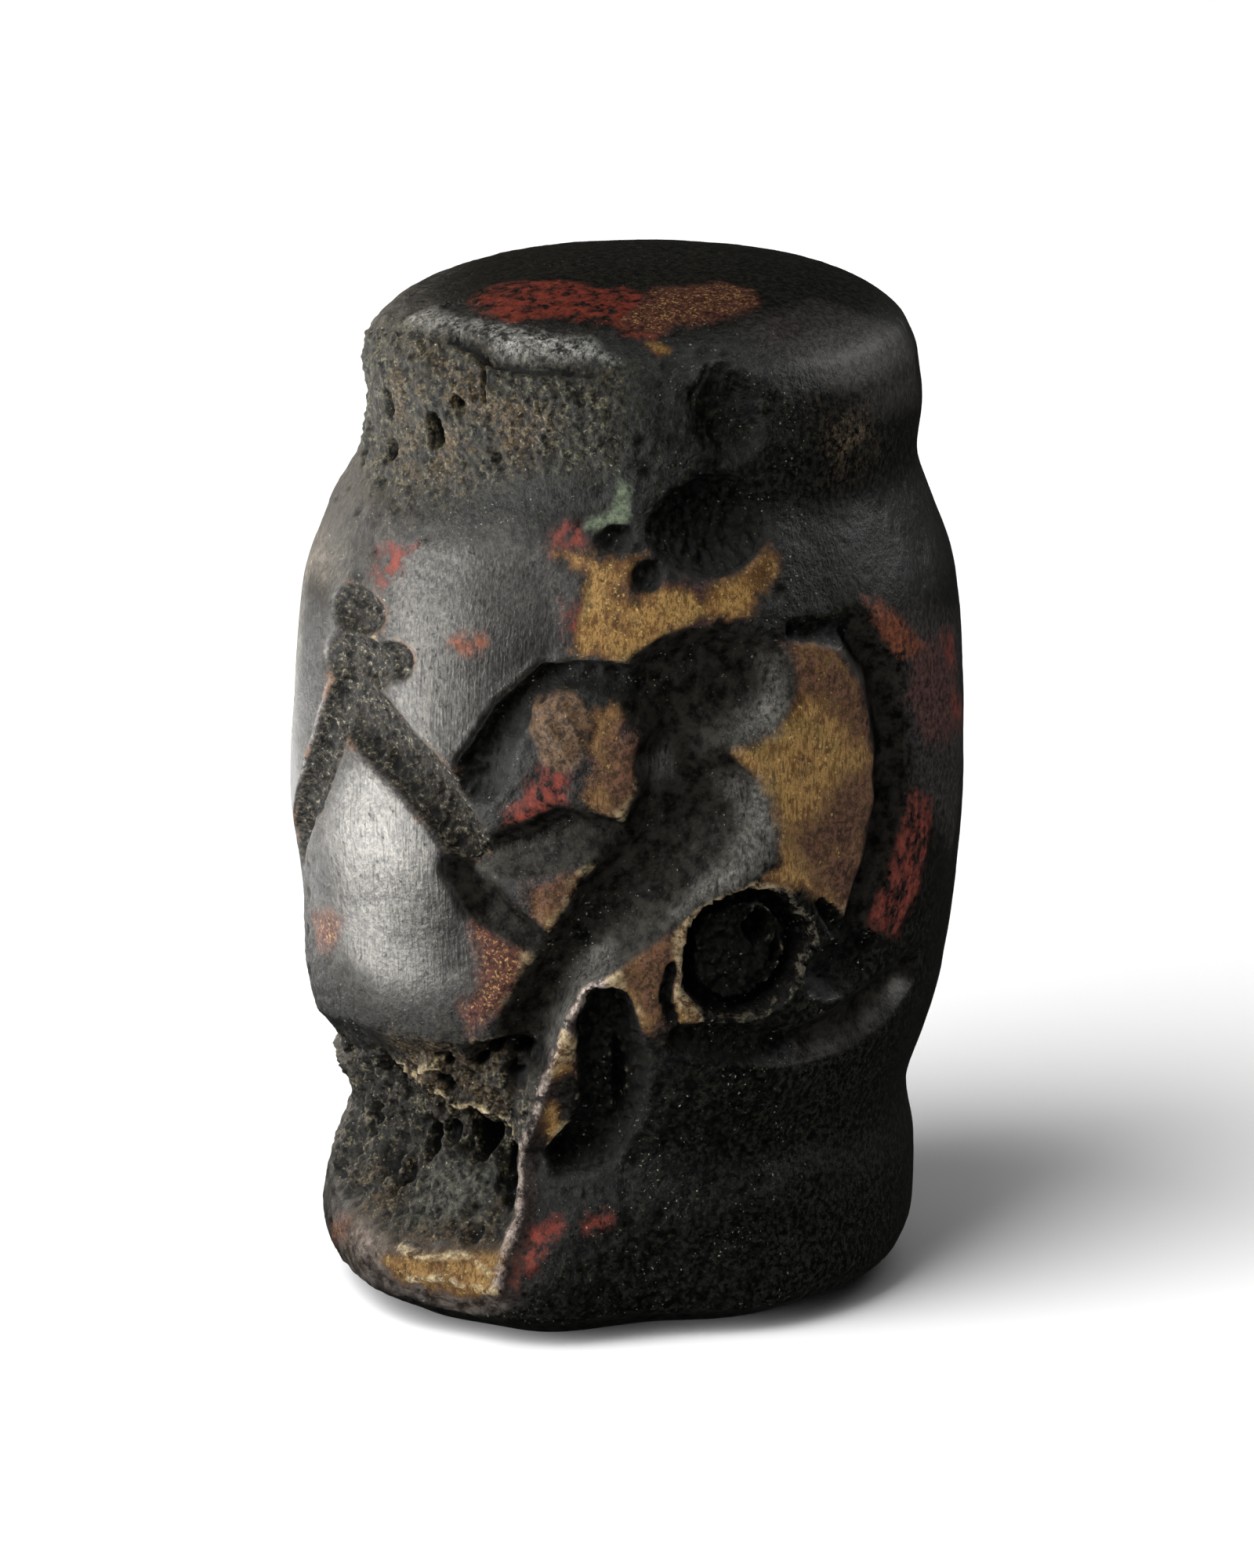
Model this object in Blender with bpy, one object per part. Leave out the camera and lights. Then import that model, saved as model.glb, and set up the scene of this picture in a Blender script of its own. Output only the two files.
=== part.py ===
"""A small cast bronze seal that stands on its flat foot, with its engraved face to the front (-Y).

The blank is turned: one outline is spun round the upright axis and given a slightly squared section.
The engraving is then cut into the blank as drilled hollows, a tubular-drill ring and tapering grooves.
Each cut is placed as on the seal's rolled-out impression: degrees round from the front, growing to the
right, and percent of the height above the foot. Widths and depths are real sizes.
"""

import math
from collections import namedtuple

import bmesh
import bpy
import numpy as np

MM = 0.001

# Driving dimensions of the blank
HEIGHT = 26.0 * MM
BELLY_RADIUS = 8.35 * MM

# The worn outline from the foot up: percent of the height, percent of the belly's radius, and how far
# the axis leans to the right there, in percent of the belly's radius
OUTLINE = (
    (0.0, 66.0, -5.0),
    (1.2, 73.0, -5.0),
    (3.1, 85.0, -3.5),
    (6.9, 88.5, -3.0),
    (12.7, 87.0, -1.0),
    (18.5, 83.0, 0.5),
    (24.6, 89.8, -1.0),
    (30.8, 95.0, -1.0),
    (39.6, 97.5, 0.5),
    (49.2, 100.0, 0.0),
    (59.2, 99.0, 0.5),
    (69.2, 96.5, 1.0),
    (76.9, 89.0, 1.0),
    (82.7, 82.0, 3.5),
    (86.9, 81.5, 5.5),
    (90.8, 81.5, 4.0),
    (93.8, 79.0, 3.5),
    (96.3, 71.0, 3.5),
    (97.9, 59.0, 4.5),
    (98.9, 47.0, 5.5),
    (99.7, 26.0, 6.0),
    (100.0, 0.0, 6.0),
)

# The section is nearly round: 2 would be a circle, and more is squarer
SQUARENESS = 2.15
SQUARE_TURN = math.radians(-20)

# The foot isn't round: (around, spread, how far it stands out) for the blunt corner a little left of
# the front, the bulge beside it and the flat to its right. They fade out above the foot.
FOOT_SWELLINGS = (
    (-17.0, 13.0, 0.50 * MM),
    (-44.0, 17.0, 0.50 * MM),
    (13.0, 18.0, -0.60 * MM),
)
FOOT_FULL = 1.6 * MM
FOOT_TOP = 4.6 * MM

# The engraving. A hollow is an oval bowl. A ring is what a tubular drill leaves: a round channel about
# a lower core. A groove runs through points of (around, up, width), and its deepest line lies in the
# middle at 0, at its right-hand edge at 1 and at its left-hand edge at -1, seen along its run.
Hollow = namedtuple("Hollow", "around up half_width half_height depth")
Ring = namedtuple("Ring", "around up radius channel depth core_depth")
Groove = namedtuple("Groove", "depth deepest path")

# The power of a cut's wall: 2 gives a round bowl, and more gives steeper walls about a flatter floor
HOLLOW_WALL = 2.4
RING_WALL = 2.4
GROOVE_WALL = 2.4

# The horned animal that fills the face
HEAD = Hollow(15.0, 80.5, 1.85 * MM, 1.30 * MM, 0.75 * MM)
EAR = Hollow(-3.5, 79.5, 0.60 * MM, 0.40 * MM, 0.30 * MM)
JAW = Hollow(3.0, 76.0, 0.50 * MM, 0.45 * MM, 0.30 * MM)
SHOULDER = Hollow(13.5, 65.8, 2.30 * MM, 1.50 * MM, 0.95 * MM)
BODY = Groove(
    0.90 * MM,
    0.35,
    (
        (10.5, 62.0, 1.9 * MM),
        (8.5, 58.5, 2.0 * MM),
        (12.0, 54.5, 3.2 * MM),
        (8.0, 49.5, 3.0 * MM),
        (-0.5, 45.0, 2.4 * MM),
        (-7.5, 40.5, 1.8 * MM),
        (-12.5, 37.0, 1.6 * MM),
        (-16.5, 33.0, 1.7 * MM),
        (-19.0, 29.5, 1.4 * MM),
    ),
)
NECK_LINK = Groove(
    0.45 * MM,
    0.0,
    ((0.0, 66.5, 1.0 * MM), (-8.0, 67.0, 0.8 * MM), (-14.5, 66.5, 0.8 * MM)),
)
RAISED_ARM = Groove(
    0.50 * MM,
    0.2,
    ((-14.5, 66.5, 0.8 * MM), (-21.0, 62.5, 1.0 * MM), (-26.5, 56.5, 1.4 * MM)),
)
LEAF = Groove(
    0.60 * MM,
    -0.35,
    ((-29.0, 47.5, 0.7 * MM), (-20.0, 49.5, 1.3 * MM), (-10.5, 51.3, 1.6 * MM), (-2.0, 51.5, 0.9 * MM)),
)
FORELEG = Groove(
    0.55 * MM,
    0.3,
    ((-29.0, 47.5, 0.9 * MM), (-24.5, 44.5, 1.2 * MM), (-16.0, 41.0, 0.6 * MM)),
)
HAUNCH = Ring(20.5, 39.8, 1.72 * MM, 0.45 * MM, 0.95 * MM, 0.45 * MM)
HAUNCH_PIT = Hollow(24.0, 42.5, 0.42 * MM, 0.50 * MM, 1.25 * MM)
HAUNCH_ARC = Groove(
    0.25 * MM,
    0.0,
    ((7.0, 39.0, 0.35 * MM), (6.5, 36.0, 0.45 * MM), (8.0, 33.5, 0.40 * MM)),
)
HIP = Hollow(39.5, 37.0, 1.20 * MM, 0.90 * MM, 0.40 * MM)
HIP_STROKE = Groove(
    0.35 * MM,
    0.0,
    ((34.0, 44.0, 0.35 * MM), (39.0, 40.5, 0.70 * MM), (46.0, 38.5, 0.70 * MM)),
)
HIND_LEG = Groove(
    0.75 * MM,
    0.2,
    (
        (-3.5, 35.0, 1.3 * MM),
        (-2.0, 30.0, 1.9 * MM),
        (-2.5, 24.5, 1.9 * MM),
        (-6.5, 20.5, 1.6 * MM),
        (-14.0, 18.5, 1.0 * MM),
    ),
)
HIND_FOOT = Groove(
    0.55 * MM,
    -0.3,
    (
        (31.0, 29.5, 0.9 * MM),
        (37.5, 30.0, 1.1 * MM),
        (44.0, 30.5, 1.3 * MM),
        (54.0, 32.0, 1.3 * MM),
        (64.0, 34.0, 0.9 * MM),
    ),
)
BELLY_STROKE = Groove(
    0.40 * MM,
    0.0,
    ((10.0, 31.5, 0.8 * MM), (20.0, 31.0, 1.2 * MM), (31.0, 29.5, 0.9 * MM)),
)
TAIL_ROOT = Groove(0.30 * MM, 0.0, ((29.0, 70.5, 0.5 * MM), (41.0, 69.5, 0.8 * MM)))
TAIL = Groove(
    0.60 * MM,
    -0.35,
    (
        (41.0, 69.5, 0.8 * MM),
        (47.5, 65.0, 1.2 * MM),
        (50.5, 58.0, 1.3 * MM),
        (50.0, 52.5, 1.2 * MM),
        (46.5, 47.0, 1.0 * MM),
        (41.5, 41.0, 0.7 * MM),
    ),
)

# The small standing figure at the left, cut as two drilled dots over two spread legs
FIGURE_HEAD = Hollow(-56.0, 70.0, 1.15 * MM, 0.65 * MM, 0.50 * MM)
FIGURE_CHEST = Hollow(-54.5, 65.2, 1.50 * MM, 0.80 * MM, 0.50 * MM)
FIGURE_ARM = Hollow(-45.0, 66.3, 0.70 * MM, 0.50 * MM, 0.40 * MM)
FIGURE_BACK_LEG = Groove(
    0.50 * MM,
    0.2,
    ((-57.0, 62.5, 1.3 * MM), (-62.0, 56.5, 1.4 * MM), (-67.0, 51.0, 1.4 * MM), (-78.0, 44.5, 1.2 * MM)),
)
FIGURE_FRONT_LEG = Groove(
    0.55 * MM,
    0.3,
    ((-54.0, 61.5, 1.8 * MM), (-44.0, 58.3, 1.8 * MM), (-35.5, 55.0, 1.5 * MM), (-28.0, 50.5, 1.2 * MM)),
)

# What corrosion has eaten: the left of the lower waist, the step under the belly there, and the pit
# in the upper waist over the animal's head
LOWER_LOSS = Hollow(-48.0, 18.5, 4.4 * MM, 2.8 * MM, 0.60 * MM)
STEP_LOSS = Groove(
    0.45 * MM,
    0.3,
    ((-76.0, 25.0, 1.4 * MM), (-60.0, 26.0, 1.6 * MM), (-40.0, 26.5, 1.6 * MM), (-24.0, 28.0, 1.2 * MM)),
)
UPPER_LOSS = Hollow(18.0, 90.8, 1.10 * MM, 1.25 * MM, 0.50 * MM)

# The hidden side, cut in the same way and more plainly: a smaller running animal, a crescent over a
# disc, and a plant with four twigs
BACK_HEAD = Hollow(133.0, 73.0, 1.00 * MM, 0.75 * MM, 0.55 * MM)
BACK_SHOULDER = Hollow(151.0, 60.5, 1.60 * MM, 1.25 * MM, 0.80 * MM)
BACK_HAUNCH = Hollow(186.0, 57.0, 1.45 * MM, 1.35 * MM, 0.75 * MM)
BACK_BODY = Groove(
    0.60 * MM,
    0.2,
    ((151.0, 60.0, 1.9 * MM), (168.0, 57.5, 1.7 * MM), (186.0, 57.5, 1.9 * MM)),
)
BACK_NECK = Groove(0.50 * MM, 0.0, ((147.0, 63.0, 1.3 * MM), (135.0, 71.0, 0.9 * MM)))
BACK_HORN = Groove(
    0.35 * MM,
    0.0,
    ((134.0, 75.0, 0.7 * MM), (142.0, 79.5, 0.6 * MM), (152.0, 79.0, 0.4 * MM)),
)
BACK_FORELEG = Groove(
    0.45 * MM,
    0.0,
    ((148.0, 57.0, 1.0 * MM), (137.0, 50.5, 0.8 * MM), (143.0, 43.5, 0.6 * MM)),
)
BACK_NEAR_LEG = Groove(
    0.45 * MM,
    0.0,
    ((155.0, 56.0, 1.0 * MM), (152.0, 47.0, 0.8 * MM), (159.0, 41.0, 0.6 * MM)),
)
BACK_HIND_LEG = Groove(
    0.45 * MM,
    0.0,
    ((187.0, 54.0, 1.1 * MM), (196.0, 47.0, 0.9 * MM), (187.0, 40.0, 0.6 * MM)),
)
BACK_TAIL = Groove(
    0.35 * MM,
    0.0,
    ((194.0, 59.0, 0.6 * MM), (203.0, 60.0, 0.6 * MM), (207.0, 55.0, 0.4 * MM)),
)
BACK_CRESCENT = Groove(
    0.40 * MM,
    0.0,
    ((213.0, 75.0, 0.4 * MM), (217.0, 70.5, 0.9 * MM), (226.0, 70.0, 0.9 * MM), (231.0, 74.0, 0.4 * MM)),
)
BACK_DISC = Hollow(226.0, 60.0, 0.95 * MM, 0.95 * MM, 0.45 * MM)
BACK_STEM = Groove(0.40 * MM, 0.0, ((105.0, 67.0, 0.5 * MM), (105.0, 40.0, 0.9 * MM)))
TWIG_WIDTH = 0.55 * MM
TWIG_REACH = 9.0
TWIG_RISE = 6.0
BACK_TWIGS = tuple(
    Groove(0.35 * MM, 0.0, ((105.0, up, TWIG_WIDTH), (105.0 + side * TWIG_REACH, up + TWIG_RISE, TWIG_WIDTH)))
    for up in (50.0, 59.0)
    for side in (-1, 1)
)

ENGRAVING = (
    HEAD,
    EAR,
    JAW,
    SHOULDER,
    BODY,
    NECK_LINK,
    RAISED_ARM,
    LEAF,
    FORELEG,
    HAUNCH,
    HAUNCH_PIT,
    HAUNCH_ARC,
    HIP,
    HIP_STROKE,
    HIND_LEG,
    HIND_FOOT,
    BELLY_STROKE,
    TAIL_ROOT,
    TAIL,
    FIGURE_HEAD,
    FIGURE_CHEST,
    FIGURE_ARM,
    FIGURE_BACK_LEG,
    FIGURE_FRONT_LEG,
    LOWER_LOSS,
    STEP_LOSS,
    UPPER_LOSS,
    BACK_HEAD,
    BACK_SHOULDER,
    BACK_HAUNCH,
    BACK_BODY,
    BACK_NECK,
    BACK_HORN,
    BACK_FORELEG,
    BACK_NEAR_LEG,
    BACK_HIND_LEG,
    BACK_TAIL,
    BACK_CRESCENT,
    BACK_DISC,
    BACK_STEM,
    *BACK_TWIGS,
)

# The blank is spun finely enough to take the cuts, and then thinned to this many triangles
STEPS_AROUND = 480
STEPS_UP = 250
TRIANGLES = 9800

BRONZE_COLOUR = (0.030, 0.029, 0.030, 1.0)
BRONZE_METALLIC = 0.85
BRONZE_ROUGHNESS = 0.38


def clear_scene():
    for thing in list(bpy.data.objects):
        bpy.data.objects.remove(thing, do_unlink=True)


def bronze_material():
    material = bpy.data.materials.new("patinated_bronze")
    material.use_nodes = True
    shader = material.node_tree.nodes["Principled BSDF"]
    shader.inputs["Base Color"].default_value = BRONZE_COLOUR
    shader.inputs["Metallic"].default_value = BRONZE_METALLIC
    shader.inputs["Roughness"].default_value = BRONZE_ROUGHNESS
    return material


def smooth_through(places, values, at):
    """A curve through the stations that never swings past them: cubic, with harmonic mean slopes."""
    gaps = np.diff(places)
    slopes = np.diff(values) / gaps
    tangents = np.zeros(len(values))
    tangents[0] = slopes[0]
    tangents[-1] = slopes[-1]
    before, after = slopes[:-1], slopes[1:]
    same_way = before * after > 0
    total = np.where(same_way, before + after, 1.0)
    tangents[1:-1] = np.where(same_way, 2 * before * after / total, 0.0)
    index = np.clip(np.searchsorted(places, at, side="right") - 1, 0, len(gaps) - 1)
    gap = gaps[index]
    t = (at - places[index]) / gap
    low, high = values[index], values[index + 1]
    return (
        low * (1 + 2 * t) * (1 - t) ** 2
        + high * t * t * (3 - 2 * t)
        + gap * tangents[index] * t * (1 - t) ** 2
        - gap * tangents[index + 1] * t * t * (1 - t)
    )


def outline_points(steps):
    """The outline as (radius, height) in metres, in even steps along its length."""
    up, radius, _ = np.array(OUTLINE).T
    fine = np.linspace(0, 100, 60 * steps)
    height = fine / 100 * HEIGHT
    reach = smooth_through(up, radius, fine) / 100 * BELLY_RADIUS
    run = np.concatenate([[0.0], np.cumsum(np.hypot(np.diff(reach), np.diff(height)))])
    even = np.linspace(0, run[-1], steps + 1)
    return np.interp(even, run, reach), np.interp(even, run, height)


def turned_blank():
    """The outline spun round the axis, with its foot closed by one flat face."""
    shape = bmesh.new()
    radii, heights = outline_points(STEPS_UP)
    line = [shape.verts.new((radius, 0.0, height)) for radius, height in zip(radii, heights)]
    edges = [shape.edges.new(pair) for pair in zip(line, line[1:])]
    bmesh.ops.spin(
        shape,
        geom=line + edges,
        axis=(0, 0, 1),
        cent=(0, 0, 0),
        angle=2 * math.pi,
        steps=STEPS_AROUND,
        use_merge=True,
    )
    bmesh.ops.remove_doubles(shape, verts=shape.verts, dist=0.0001 * MM)
    rim = [edge for edge in shape.edges if edge.is_boundary]
    bmesh.ops.holes_fill(shape, edges=rim, sides=0)
    bmesh.ops.recalc_face_normals(shape, faces=shape.faces)
    mesh = bpy.data.meshes.new("seal_body")
    shape.to_mesh(mesh)
    shape.free()
    return mesh


def gap_around(around, centre):
    """Degrees from the centre to each place, the short way round."""
    return (around - centre + 180) % 360 - 180


def section(around):
    """How far the squared section reaches at each angle, as a share of the round one."""
    angle = np.radians(around - 90) - SQUARE_TURN
    reach = np.abs(np.cos(angle)) ** SQUARENESS + np.abs(np.sin(angle)) ** SQUARENESS
    return reach ** (-1 / SQUARENESS)


def foot_swelling(around, height):
    """What the corner, the bulge and the flat of the foot add to the radius."""
    fade = np.clip((FOOT_TOP - height) / (FOOT_TOP - FOOT_FULL), 0, 1)
    smooth = fade * fade * (3 - 2 * fade)
    total = sum(out * np.exp(-((gap_around(around, at) / spread) ** 2)) for at, spread, out in FOOT_SWELLINGS)
    return total * smooth


def bowl(share, wall):
    """A cut's depth from its deepest line, 1 there, to its edge, 0 from there on."""
    return np.clip(1 - np.abs(share) ** wall, 0, None)


def offsets(around, height, at_around, at_up):
    """Metres across and up from one place on the rolled-out surface."""
    across = np.radians(gap_around(around, at_around)) * BELLY_RADIUS
    return across, height - at_up / 100 * HEIGHT


def hollow_depth(around, height, cut):
    across, up = offsets(around, height, cut.around, cut.up)
    return cut.depth * bowl(np.hypot(across / cut.half_width, up / cut.half_height), HOLLOW_WALL)


def ring_depth(around, height, cut):
    across, up = offsets(around, height, cut.around, cut.up)
    distance = np.hypot(across, up)
    middle = cut.radius - cut.channel / 2
    channel = cut.depth * bowl((distance - middle) / (cut.channel / 2), RING_WALL)
    core = np.where(distance < middle, cut.core_depth, 0.0)
    return np.maximum(channel, core)


def groove_depth(around, height, cut):
    """The deepest that any stretch of the groove cuts at each place. The ends are round."""
    depth = np.zeros(len(around))
    for start, end in zip(cut.path, cut.path[1:]):
        across, up = offsets(around, height, start[0], start[1])
        run_across = math.radians(end[0] - start[0]) * BELLY_RADIUS
        run_up = (end[1] - start[1]) / 100 * HEIGHT
        length = math.hypot(run_across, run_up)
        along = np.clip((across * run_across + up * run_up) / length**2, 0, 1)
        off_across = across - along * run_across
        off_up = up - along * run_up
        half = (start[2] + along * (end[2] - start[2])) / 2
        rightward = (off_across * run_up - off_up * run_across) / length / half
        beyond = (off_across * run_across + off_up * run_up) / length / half
        wall = np.where(rightward > cut.deepest, 1 - cut.deepest, 1 + cut.deepest)
        share = np.hypot((rightward - cut.deepest) / wall, beyond)
        depth = np.maximum(depth, cut.depth * bowl(share, GROOVE_WALL))
    return depth


def cut_depth(around, height):
    """How deep the whole engraving goes at each place."""
    ways = {Hollow: hollow_depth, Ring: ring_depth, Groove: groove_depth}
    depth = np.zeros(len(around))
    for cut in ENGRAVING:
        depth = np.maximum(depth, ways[type(cut)](around, height, cut))
    return depth


def engrave(mesh):
    """Squares the blank's section, cuts the engraving in towards the axis and leans the axis."""
    flat = np.empty(len(mesh.vertices) * 3, np.float32)
    mesh.vertices.foreach_get("co", flat)
    points = flat.reshape(-1, 3).astype(float)
    height = points[:, 2]
    radius = np.hypot(points[:, 0], points[:, 1])
    around = np.degrees(np.arctan2(points[:, 0], -points[:, 1]))
    above_foot = height > 0
    reach = radius * section(around) + foot_swelling(around, height)
    reach -= cut_depth(around, height) * above_foot
    up, _, lean = np.array(OUTLINE).T
    shift = smooth_through(up, lean, height / HEIGHT * 100) / 100 * BELLY_RADIUS
    turn = np.radians(around)
    points[:, 0] = reach * np.sin(turn) + shift
    points[:, 1] = -reach * np.cos(turn)
    mesh.vertices.foreach_set("co", points.astype(np.float32).ravel())
    mesh.update()


def build_seal():
    mesh = turned_blank()
    engrave(mesh)
    mesh.shade_smooth()
    seal = bpy.data.objects.new("seal_body", mesh)
    bpy.context.scene.collection.objects.link(seal)
    seal.data.materials.append(bronze_material())
    mesh.calc_loop_triangles()
    thin = seal.modifiers.new("thin_flat_places", "DECIMATE")
    thin.ratio = TRIANGLES / len(mesh.loop_triangles)
    thin.use_collapse_triangulate = True
    return seal


clear_scene()
build_seal()
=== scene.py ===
# %% [markdown]
# # A small bronze seal
# The real seal is one piece: a barrel as tall as a thumb joint, cast in bronze and then engraved
# with drills and gravers. Two thousand years and more in the ground have turned its skin nearly
# black, eaten its waists away and left a crust there. Hands have since rubbed the belly back to
# grey metal.
#
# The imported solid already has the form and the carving. This lesson builds the same form again,
# far more finely, and gives it the pits, crust and colours that a solid for machines can't carry.

# %% Load the frame
import itertools
import math
from collections import namedtuple
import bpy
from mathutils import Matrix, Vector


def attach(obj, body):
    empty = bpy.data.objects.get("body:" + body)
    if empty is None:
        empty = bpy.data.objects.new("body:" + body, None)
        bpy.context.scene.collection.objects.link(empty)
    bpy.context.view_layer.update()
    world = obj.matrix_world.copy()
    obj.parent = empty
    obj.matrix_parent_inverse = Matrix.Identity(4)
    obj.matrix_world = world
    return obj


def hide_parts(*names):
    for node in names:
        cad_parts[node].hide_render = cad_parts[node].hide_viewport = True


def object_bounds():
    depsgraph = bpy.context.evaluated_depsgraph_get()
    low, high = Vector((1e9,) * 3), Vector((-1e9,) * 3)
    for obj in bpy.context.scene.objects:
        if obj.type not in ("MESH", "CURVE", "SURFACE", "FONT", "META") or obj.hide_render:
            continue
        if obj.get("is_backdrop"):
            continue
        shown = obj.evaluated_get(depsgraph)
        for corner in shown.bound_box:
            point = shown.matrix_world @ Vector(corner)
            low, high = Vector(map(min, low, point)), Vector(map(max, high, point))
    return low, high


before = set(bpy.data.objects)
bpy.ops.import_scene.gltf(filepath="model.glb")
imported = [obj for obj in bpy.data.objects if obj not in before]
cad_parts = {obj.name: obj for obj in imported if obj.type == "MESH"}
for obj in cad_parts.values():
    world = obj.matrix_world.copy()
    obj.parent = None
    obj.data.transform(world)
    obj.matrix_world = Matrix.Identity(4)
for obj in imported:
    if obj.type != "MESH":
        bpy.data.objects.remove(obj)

from types import SimpleNamespace

import bpy
import numpy as np
from mathutils import Euler, Vector

low, high = (Vector(corner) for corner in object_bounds())
MM = 0.001
HEIGHT = high.z - low.z
# Measured in the photograph, like all shares of the height below
BELLY_RADIUS = 0.32115 * HEIGHT
print("the solid is", [round(side / MM, 2) for side in high - low], "mm")

# %% [markdown]
# ## The camera
# The photograph was taken from a little above, with a long lens: the sides of the belly hardly
# converge. A camera ten seal heights away and 15 degrees above the middle gives the same outline.
# The lens follows from how much of the seal's plane the picture takes in.

# %% The camera
PICTURE_HEIGHT = 2000
# At the seal's distance
PIXELS_PER_METRE = 50750
CAMERA_RISE = math.radians(15)
CAMERA_DISTANCE = 10 * HEIGHT
AIM = Vector((-0.02 * MM, 0.0, 12.58 * MM))
SENSOR = 36.0


def toward(around, rise):
    """The way out from the seal: degrees around from the front to the right, and degrees up."""
    turn, tilt = math.radians(around), math.radians(rise)
    level = math.cos(tilt)
    return Vector((math.sin(turn) * level, -math.cos(turn) * level, math.sin(tilt)))


camera = bpy.data.objects.new("camera", bpy.data.cameras.new("camera"))
bpy.context.scene.collection.objects.link(camera)
bpy.context.scene.camera = camera
camera.location = AIM + CAMERA_DISTANCE * toward(0, math.degrees(CAMERA_RISE))
camera.rotation_euler = (math.pi / 2 - CAMERA_RISE, 0, 0)
camera.data.sensor_width = SENSOR
camera.data.lens = SENSOR * CAMERA_DISTANCE * PIXELS_PER_METRE / PICTURE_HEIGHT
camera.data.clip_start, camera.data.clip_end = 0.01, 10.0
print("a lens of", round(camera.data.lens), "mm")

# %% [markdown]
# ## The floor
# The seal stands on plain pale paper without a horizon. A ray switch keeps the paper out of the
# seal's reflections, as a photographer would with black card laid just outside the picture.


# %% Colours and floor
def colour(code):
    """An sRGB hex value as the linear colour that the shaders work in."""
    shares = [int(code[at : at + 2], 16) / 255 for at in (1, 3, 5)]
    linear = [s / 12.92 if s <= 0.04045 else ((s + 0.055) / 1.055) ** 2.4 for s in shares]
    return (*linear, 1.0)


FLOOR_HALF = 2.0
floor_mesh = bpy.data.meshes.new("floor")
sides = ((-1, -1), (1, -1), (1, 1), (-1, 1))
corners = [(x * FLOOR_HALF, y * FLOOR_HALF, 0) for x, y in sides]
floor_mesh.from_pydata(corners, [], [(0, 1, 2, 3)])
floor = bpy.data.objects.new("floor", floor_mesh)
bpy.context.scene.collection.objects.link(floor)
floor.location.z = low.z
floor.visible_glossy = False
# Uncoated paper: nearly white, wholly matt
paper = bpy.data.materials.new("white_paper")
paper.use_nodes = True
MATT = {"Base Color": colour("#f4f4f4"), "Roughness": 0.9, "Specular IOR Level": 0.0}
for socket, value in MATT.items():
    paper.node_tree.nodes["Principled BSDF"].inputs[socket].default_value = value
floor_mesh.materials.append(paper)
floor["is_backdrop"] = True
print("the floor is", 2 * FLOOR_HALF, "m wide")

# %% [markdown]
# ## The lamps
# A dark seal with a worn metal skin shows little but what it mirrors, so each soft box is placed
# for the stripe of light it leaves. The key and a lower one stand at the left, as a window would,
# and rake across the belly. Two more stand behind and draw the outlines, and two weak ones shine
# from above. A fill takes the blackness off the matt places, and doesn't show in the shiny ones.
# Two bright cards lie on the table and light the left from below. The right of the seal sinks into
# the dark.
#
# The paper has two lamps of its own: a window, which throws the long soft shadow to the right, and
# a wash from above that whitens the rest. In a studio, black card would keep the two sets apart.
# Here each lamp names what it may light.


# %% Lamps
def lamp_panel(name, width, height, watts, tint="#ffffff"):
    """A glowing rectangle that the camera itself doesn't see."""
    lamp = bpy.data.objects.new(name, bpy.data.lights.new(name, "AREA"))
    lamp.data.shape = "RECTANGLE"
    lamp.data.size, lamp.data.size_y = width, height
    lamp.data.energy = watts
    lamp.data.color = colour(tint)[:3]
    lamp.visible_camera = False
    bpy.context.scene.collection.objects.link(lamp)
    return lamp


def soft_box(name, around, rise, distance, *panel):
    """A panel on a stand, turned to face the seal."""
    lamp = lamp_panel(name, *panel)
    lamp.location = AIM + distance * toward(around, rise)
    lamp.rotation_euler = (AIM - lamp.location).to_track_quat("-Z", "Y").to_euler()
    return lamp


def table_card(name, place, *panel):
    """A panel that lies on the table and shines straight up. Its place is in millimetres."""
    lamp = lamp_panel(name, *panel)
    lamp.location = Vector(place) * MM
    lamp.rotation_euler = (math.pi, 0, 0)
    return lamp


SOFT_BOXES = (
    # name, degrees around and up, metres away, width and height in metres, watts, tint
    ("key", -85, 14, 0.30, 0.16, 0.12, 0.19),
    ("low_key", -72, 8, 0.30, 0.14, 0.07, 0.25),
    ("left_rim", -140, 12, 0.30, 0.14, 0.10, 0.30, "#fff4e6"),
    ("right_rim", 117, 28, 0.30, 0.10, 0.08, 0.26),
    ("top_left", -70, 60, 0.30, 0.12, 0.12, 0.21),
    ("front", -30, 50, 0.45, 0.20, 0.20, 0.34),
    ("fill", -25, 35, 0.50, 0.30, 0.30, 0.80),
)
CARDS = (
    ("card", (-44, -4.5, 2), 0.024, 0.026, 0.043),
    ("back_card", (-35, 38, 1), 0.032, 0.036, 0.011),
)
for_seal = [soft_box(*row) for row in SOFT_BOXES] + [table_card(*row) for row in CARDS]
bpy.data.objects["fill"].visible_glossy = False
for_floor = [
    soft_box("window", -48, 36, 0.90, 0.80, 1.30, 22.0),
    soft_box("wash", 0, 90, 1.20, 2.5, 2.5, 8.5),
]
floor_only = bpy.data.collections.new("lit_for_the_floor")
floor_only.objects.link(floor)
seal_only = bpy.data.collections.new("lit_for_the_seal")
for lamps, lit in ((for_floor, floor_only), (for_seal, seal_only)):
    for lamp in lamps:
        lamp.light_linking.receiver_collection = lit

world = bpy.data.worlds.new("studio")
world.use_nodes = True
world.node_tree.nodes["Background"].inputs["Color"].default_value = colour("#ffffff")
world.node_tree.nodes["Background"].inputs["Strength"].default_value = 0.012
bpy.context.scene.world = world
bpy.context.scene.view_settings.view_transform = "Standard"
print(len(for_seal), "lamps for the seal and", len(for_floor), "for the floor")

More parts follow.
